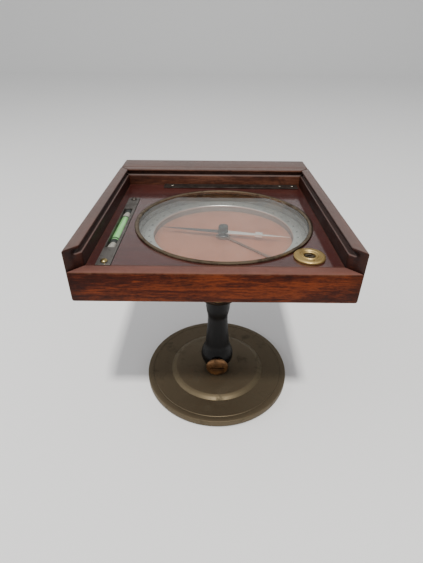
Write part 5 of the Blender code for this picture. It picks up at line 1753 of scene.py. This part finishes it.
# ---- level and slotted bar ------------------------------------------------------------------
@dataclass
class Level:
    """The steel bar with its green vial, and the slotted bar at the back."""

    trough_half: float = 0.0038
    vial_radius: float = 0.0034
    steel: Metal = Metal(
        "level_steel", (0.195, 0.180, 0.164), (0.092, 0.083, 0.074), 0.5, 0.42, 0.85, brushed=Axis.Y)
    strip: Metal = Metal(
        "strip_steel", (0.085, 0.070, 0.060), (0.026, 0.020, 0.017), 0.6, 0.42, 0.85, brushed=Axis.X)
    brass: Metal = Metal("screw_brass", (0.46, 0.36, 0.15), (0.16, 0.11, 0.045), 0.3, 0.28)
    dull: Metal = Metal("dull_screw", (0.20, 0.18, 0.15), (0.06, 0.05, 0.045), 0.45, 0.34)
    black: Matt = Matt("black_band", (0.012, 0.012, 0.012), (0.006, 0.006, 0.006), 900.0, 0.45, 0.00002)

    def build(self) -> None:
        """Build and dress the level and the slotted bar."""
        self.build_bar()
        self.build_vial()
        self.build_strip()

    def build_bar(self) -> None:
        """Make the bar with its trough, and its two screws."""
        low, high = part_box("level_bar")
        vial_low, vial_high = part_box("level_vial")
        cap_low, cap_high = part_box("vial_cap_front")[0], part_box("vial_cap_back")[1]
        centre = (vial_low.x + vial_high.x) / 2
        bar = start_box("level_plate", low, high)
        trough = start_box(
            "vial_trough", (centre - self.trough_half, cap_low.y - 0.0015, vial_low.z - 0.0003),
            (centre + self.trough_half, cap_high.y + 0.0015, high.z + 0.003))
        holes = drill(("level_screw_front", "level_screw_back"), 0.0016, low.z, high.z, 32)
        nicks = []
        for share in (0.30, 0.50, 0.70):
            y = vial_low.y + (vial_high.y - vial_low.y) * share
            nicks.append(start_box(
                f"nick_{share}", (centre + self.trough_half - 0.0005, y - 0.00015, high.z - 0.0002),
                (centre + self.trough_half + 0.0024, y + 0.00015, high.z + 0.001)))
        carve(bar, [trough, *holes, *nicks])
        round_edges(bar, 0.00018, 1, 50.0)
        place_piece(smooth(bar, PLATE_ANGLE), self.steel, "case", ["level_bar"])
        for name, finish, angle in (
            ("level_screw_front", self.brass, 62.0), ("level_screw_back", self.dull, 10.0),
        ):
            high_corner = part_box(name)[1]
            spot = middle(name)
            screw = slotted_head(
                f"{name}_head", 0.0026, high_corner.z - high.z - GAP, 0.0013, 0.0135,
                (spot.x, spot.y, high.z + GAP), angle=angle, slot=0.00028)
            place_piece(screw, finish, "case", [name])

    def build_vial(self) -> None:
        """Make the green tube, its two black bands and whitish ends."""
        low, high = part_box("level_vial")
        centre = (low + high) / 2
        radius = self.vial_radius
        length = high.y - low.y
        tube = turned("vial_tube", [
            (0.0, length), (radius * 0.7, length), (radius * 0.93, length - 0.0004),
            (radius, length - 0.0011), (radius, length * 0.5), (radius, 0.0011),
            (radius * 0.93, 0.0004), (radius * 0.7, 0.0), (0.0, 0.0),
        ], (centre.x, low.y, centre.z), 48, Facing.BACK)
        place_piece(tube, Spirit("green_spirit"), "case", ["level_vial"])
        for number, share in enumerate((0.03, 0.97)):
            y = low.y + length * share
            band = turned(f"vial_band_{number}", [
                (radius + 0.00001, 0.0007), (radius + 0.00018, 0.0006), (radius + 0.00018, -0.0006),
                (radius + 0.00001, -0.0007),
            ], (centre.x, y, centre.z), 48, Facing.BACK)
            place_piece(band, self.black, "case")
        for name, dark_in_front in (("vial_cap_front", False), ("vial_cap_back", False)):
            end_low, end_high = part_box(name)
            span = end_high.y - end_low.y
            finish = PlugEnd(f"{name}_plug", line=end_low.y + 0.62 * span, dark_in_front=dark_in_front)
            neck = radius * 0.72
            end = turned(f"{name}_end", [
                (0.0, span), (radius * 0.8, span), (radius, span - 0.0005), (radius, span * 0.66),
                (neck, span * 0.60), (neck, span * 0.42), (radius, span * 0.36), (radius, 0.0005),
                (radius * 0.8, 0.0), (0.0, 0.0),
            ], (centre.x, end_low.y, centre.z), 40, Facing.BACK)
            place_piece(end, finish, "case", [name])

    def build_strip(self) -> None:
        """Make the slotted bar and its three screws."""
        low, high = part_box("cross_bar")
        bar = start_box("slotted_strip", low, high)
        centre = (low + high) / 2
        slot = start_box(
            "strip_slot", (centre.x - 0.0390, centre.y - 0.0009, low.z - 0.002),
            (centre.x + 0.0390, centre.y + 0.0009, high.z + 0.002))
        screws = [f"cross_screw_{number}" for number in (1, 2, 3)]
        carve(bar, [slot, *drill(screws, 0.0011, low.z, high.z, 32)])
        round_edges(bar, 0.00012, 1, 50.0)
        place_piece(smooth(bar, PLATE_ANGLE), self.strip, "case", ["cross_bar"])
        for number, name in enumerate(screws):
            spot = middle(name)
            head_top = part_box(name)[1].z
            screw = slotted_head(
                f"{name}_head", 0.0019, head_top - high.z - GAP, 0.0008, 0.0033,
                (spot.x, spot.y, high.z + GAP), angle=15.0 + 50.0 * number, slot=0.00022)
            place_piece(screw, self.dull, "case", [name])


# ---- sight bar ------------------------------------------------------------------------------
@dataclass
class Sight:
    """The hollow sighting bar at the back."""

    wall: float = 0.0060
    brass: Metal = Metal("worn_brass")

    def build(self) -> None:
        """Build and dress the sight bar."""
        low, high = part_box("sight_bar")
        bar = start_box("sight_beam", low, high)
        round_edges(bar, BOARD_SOFT, 3)
        channel = start_box(
            "sight_channel", (low.x - PAST, low.y + self.wall, low.z + self.wall),
            (high.x + PAST, high.y - self.wall, high.z - self.wall))
        bolt = middle("sight_bolt")
        inside = low.y + self.wall + PAST
        hole = start_rod("beam_hole", BOLT_HOLE, (bolt.x, low.y - PAST, bolt.z), (bolt.x, inside, bolt.z))
        carve(bar, [channel, hole])
        finish = Wood(
            "mahogany_sight", Axis.X, centre=tuple((low + high) / 2), half=tuple((high - low) / 2), grime=0.6,
            wear=0.4)
        place_piece(smooth(bar, BOARD_ANGLE), finish, "sight", ["sight_bar"])
        for name in ("eye_plate", "window_plate", "sight_nut"):
            dress_node(name, self.brass)
        dress_node("sight_hair", Metal("grey_steel"))
        self.build_bolt(low)

    def build_bolt(self, corner: Vector) -> None:
        """Make the pivot bolt.

        Args:
            corner: The bar's lowest corner.
        """
        low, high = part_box("sight_bolt")
        centre = middle("sight_bolt")
        seat = corner.y + self.wall + GAP
        head = (high.x - low.x) / 2
        bolt = turned("pivot_bolt", [
            (0.0, high.y - seat), (head * 0.6, high.y - seat), (head, (high.y - seat) * 0.45), (head, 0.0),
            (0.0030, 0.0), (0.0030, low.y - seat + 0.0006), (0.0024, low.y - seat), (0.0, low.y - seat),
        ], (centre.x, seat, centre.z), 48, Facing.BACK)
        place_piece(bolt, Metal("grey_steel"), "sight", ["sight_bolt"])


# ---- studio ---------------------------------------------------------------------------------
@dataclass
class Studio:
    """The floor, the soft lights and the camera."""

    eye: Triple = (-0.0070, -0.3125, 0.3208)
    pitch: float = 32.69
    yaw: float = 0.03
    roll: float = -0.518
    lens: float = 24.38
    floor_colour: Triple = (0.90, 0.90, 0.89)

    def build(self) -> None:
        """Set up the whole studio."""
        self.build_floor()
        self.build_lights()
        self.build_camera()

    def build_floor(self) -> None:
        """Lay a pale floor that curves up behind into a backdrop."""
        deselect()
        bpy.ops.mesh.primitive_plane_add(size=8.0, location=(0.0, 0.0, 0.0))
        floor = fresh("pale_floor")
        with editing(floor):
            bpy.ops.mesh.select_mode(type="EDGE")
            bpy.ops.object.mode_set(mode="OBJECT")
            for edge in floor.data.edges:
                edge.select = all(floor.data.vertices[v].co.y > 3.9 for v in edge.vertices)
            bpy.ops.object.mode_set(mode="EDIT")
            for number in range(8):
                angle = math.radians(90.0 * (number + 0.5) / 8)
                bend = (0.0, 0.16 * math.cos(angle), 0.16 * math.sin(angle))
                bpy.ops.mesh.extrude_region_move(TRANSFORM_OT_translate={"value": bend})
            bpy.ops.mesh.extrude_region_move(TRANSFORM_OT_translate={"value": (0.0, 0.0, 2.5)})
        smooth(floor, 60.0)
        sheet = Sheet("pale_floor")
        cloud = sheet.noise(sheet.place, 3.0, 3.0, 0.5)
        colour = sheet.mix(cloud * 0.1, self.floor_colour, tuple(0.96 * c for c in self.floor_colour))
        floor.data.materials.append(sheet.finish(Base_Color=colour, Roughness=0.85))

    def add_light(
        self, name: str, place: Triple, target: Triple, size: float, power: float, colour: Triple,
    ) -> None:
        """Hang a soft square light.

        Args:
            name: Its name.
            place: Where it hangs.
            target: What it points at.
            size: Its side.
            power: Its power in watts.
            colour: Its colour.
        """
        data = bpy.data.lights.new(name, "AREA")
        data.shape = "SQUARE"
        data.size = size
        data.energy = power
        data.color = colour
        light = bpy.data.objects.new(name, data)
        bpy.context.scene.collection.objects.link(light)
        light.location = place
        light.rotation_euler = (Vector(target) - Vector(place)).to_track_quat("-Z", "Y").to_euler()

    def build_lights(self) -> None:
        """Hang the lights and set the sky."""
        heart = (0.0, 0.0, 0.14)
        self.add_light("key", (0.10, -1.35, 2.70), heart, 0.20, 86.0, (1.0, 0.98, 0.95))
        self.add_light("fill", (-1.2, -0.2, 1.1), heart, 1.0, 6.0, (0.97, 0.98, 1.0))
        world = bpy.data.worlds.new("soft_sky")
        world.use_nodes = True
        back = world.node_tree.nodes["Background"]
        back.inputs["Color"].default_value = (0.95, 0.96, 0.98, 1.0)
        back.inputs["Strength"].default_value = 0.56
        bpy.context.scene.world = world

    def build_camera(self) -> None:
        """Set the camera at the viewer's eye."""
        data = bpy.data.cameras.new("viewer")
        data.lens = self.lens
        data.sensor_width = 36.0
        data.clip_start = 0.01
        camera = bpy.data.objects.new("viewer", data)
        bpy.context.scene.collection.objects.link(camera)
        pitch, yaw, roll = (math.radians(v) for v in (self.pitch, self.yaw, self.roll))
        aim = Matrix.Rotation(-yaw, 4, "Z") @ Matrix.Rotation(math.pi / 2 - pitch, 4, "X")
        camera.matrix_world = Matrix.Translation(self.eye) @ aim @ Matrix.Rotation(-roll, 4, "Z")
        bpy.context.scene.camera = camera


def main() -> None:
    """Build every part of the compass in order, then the studio."""
    logging.basicConfig(level=logging.INFO, format="%(name)s: %(message)s")
    for part in (Stand(), BallHead(), Case(), Compass(), Arrest(), Level(), Sight(), Studio()):
        log.info("building %s", type(part).__name__)
        part.build()
    deselect()


if __name__ == "__main__":
    main()
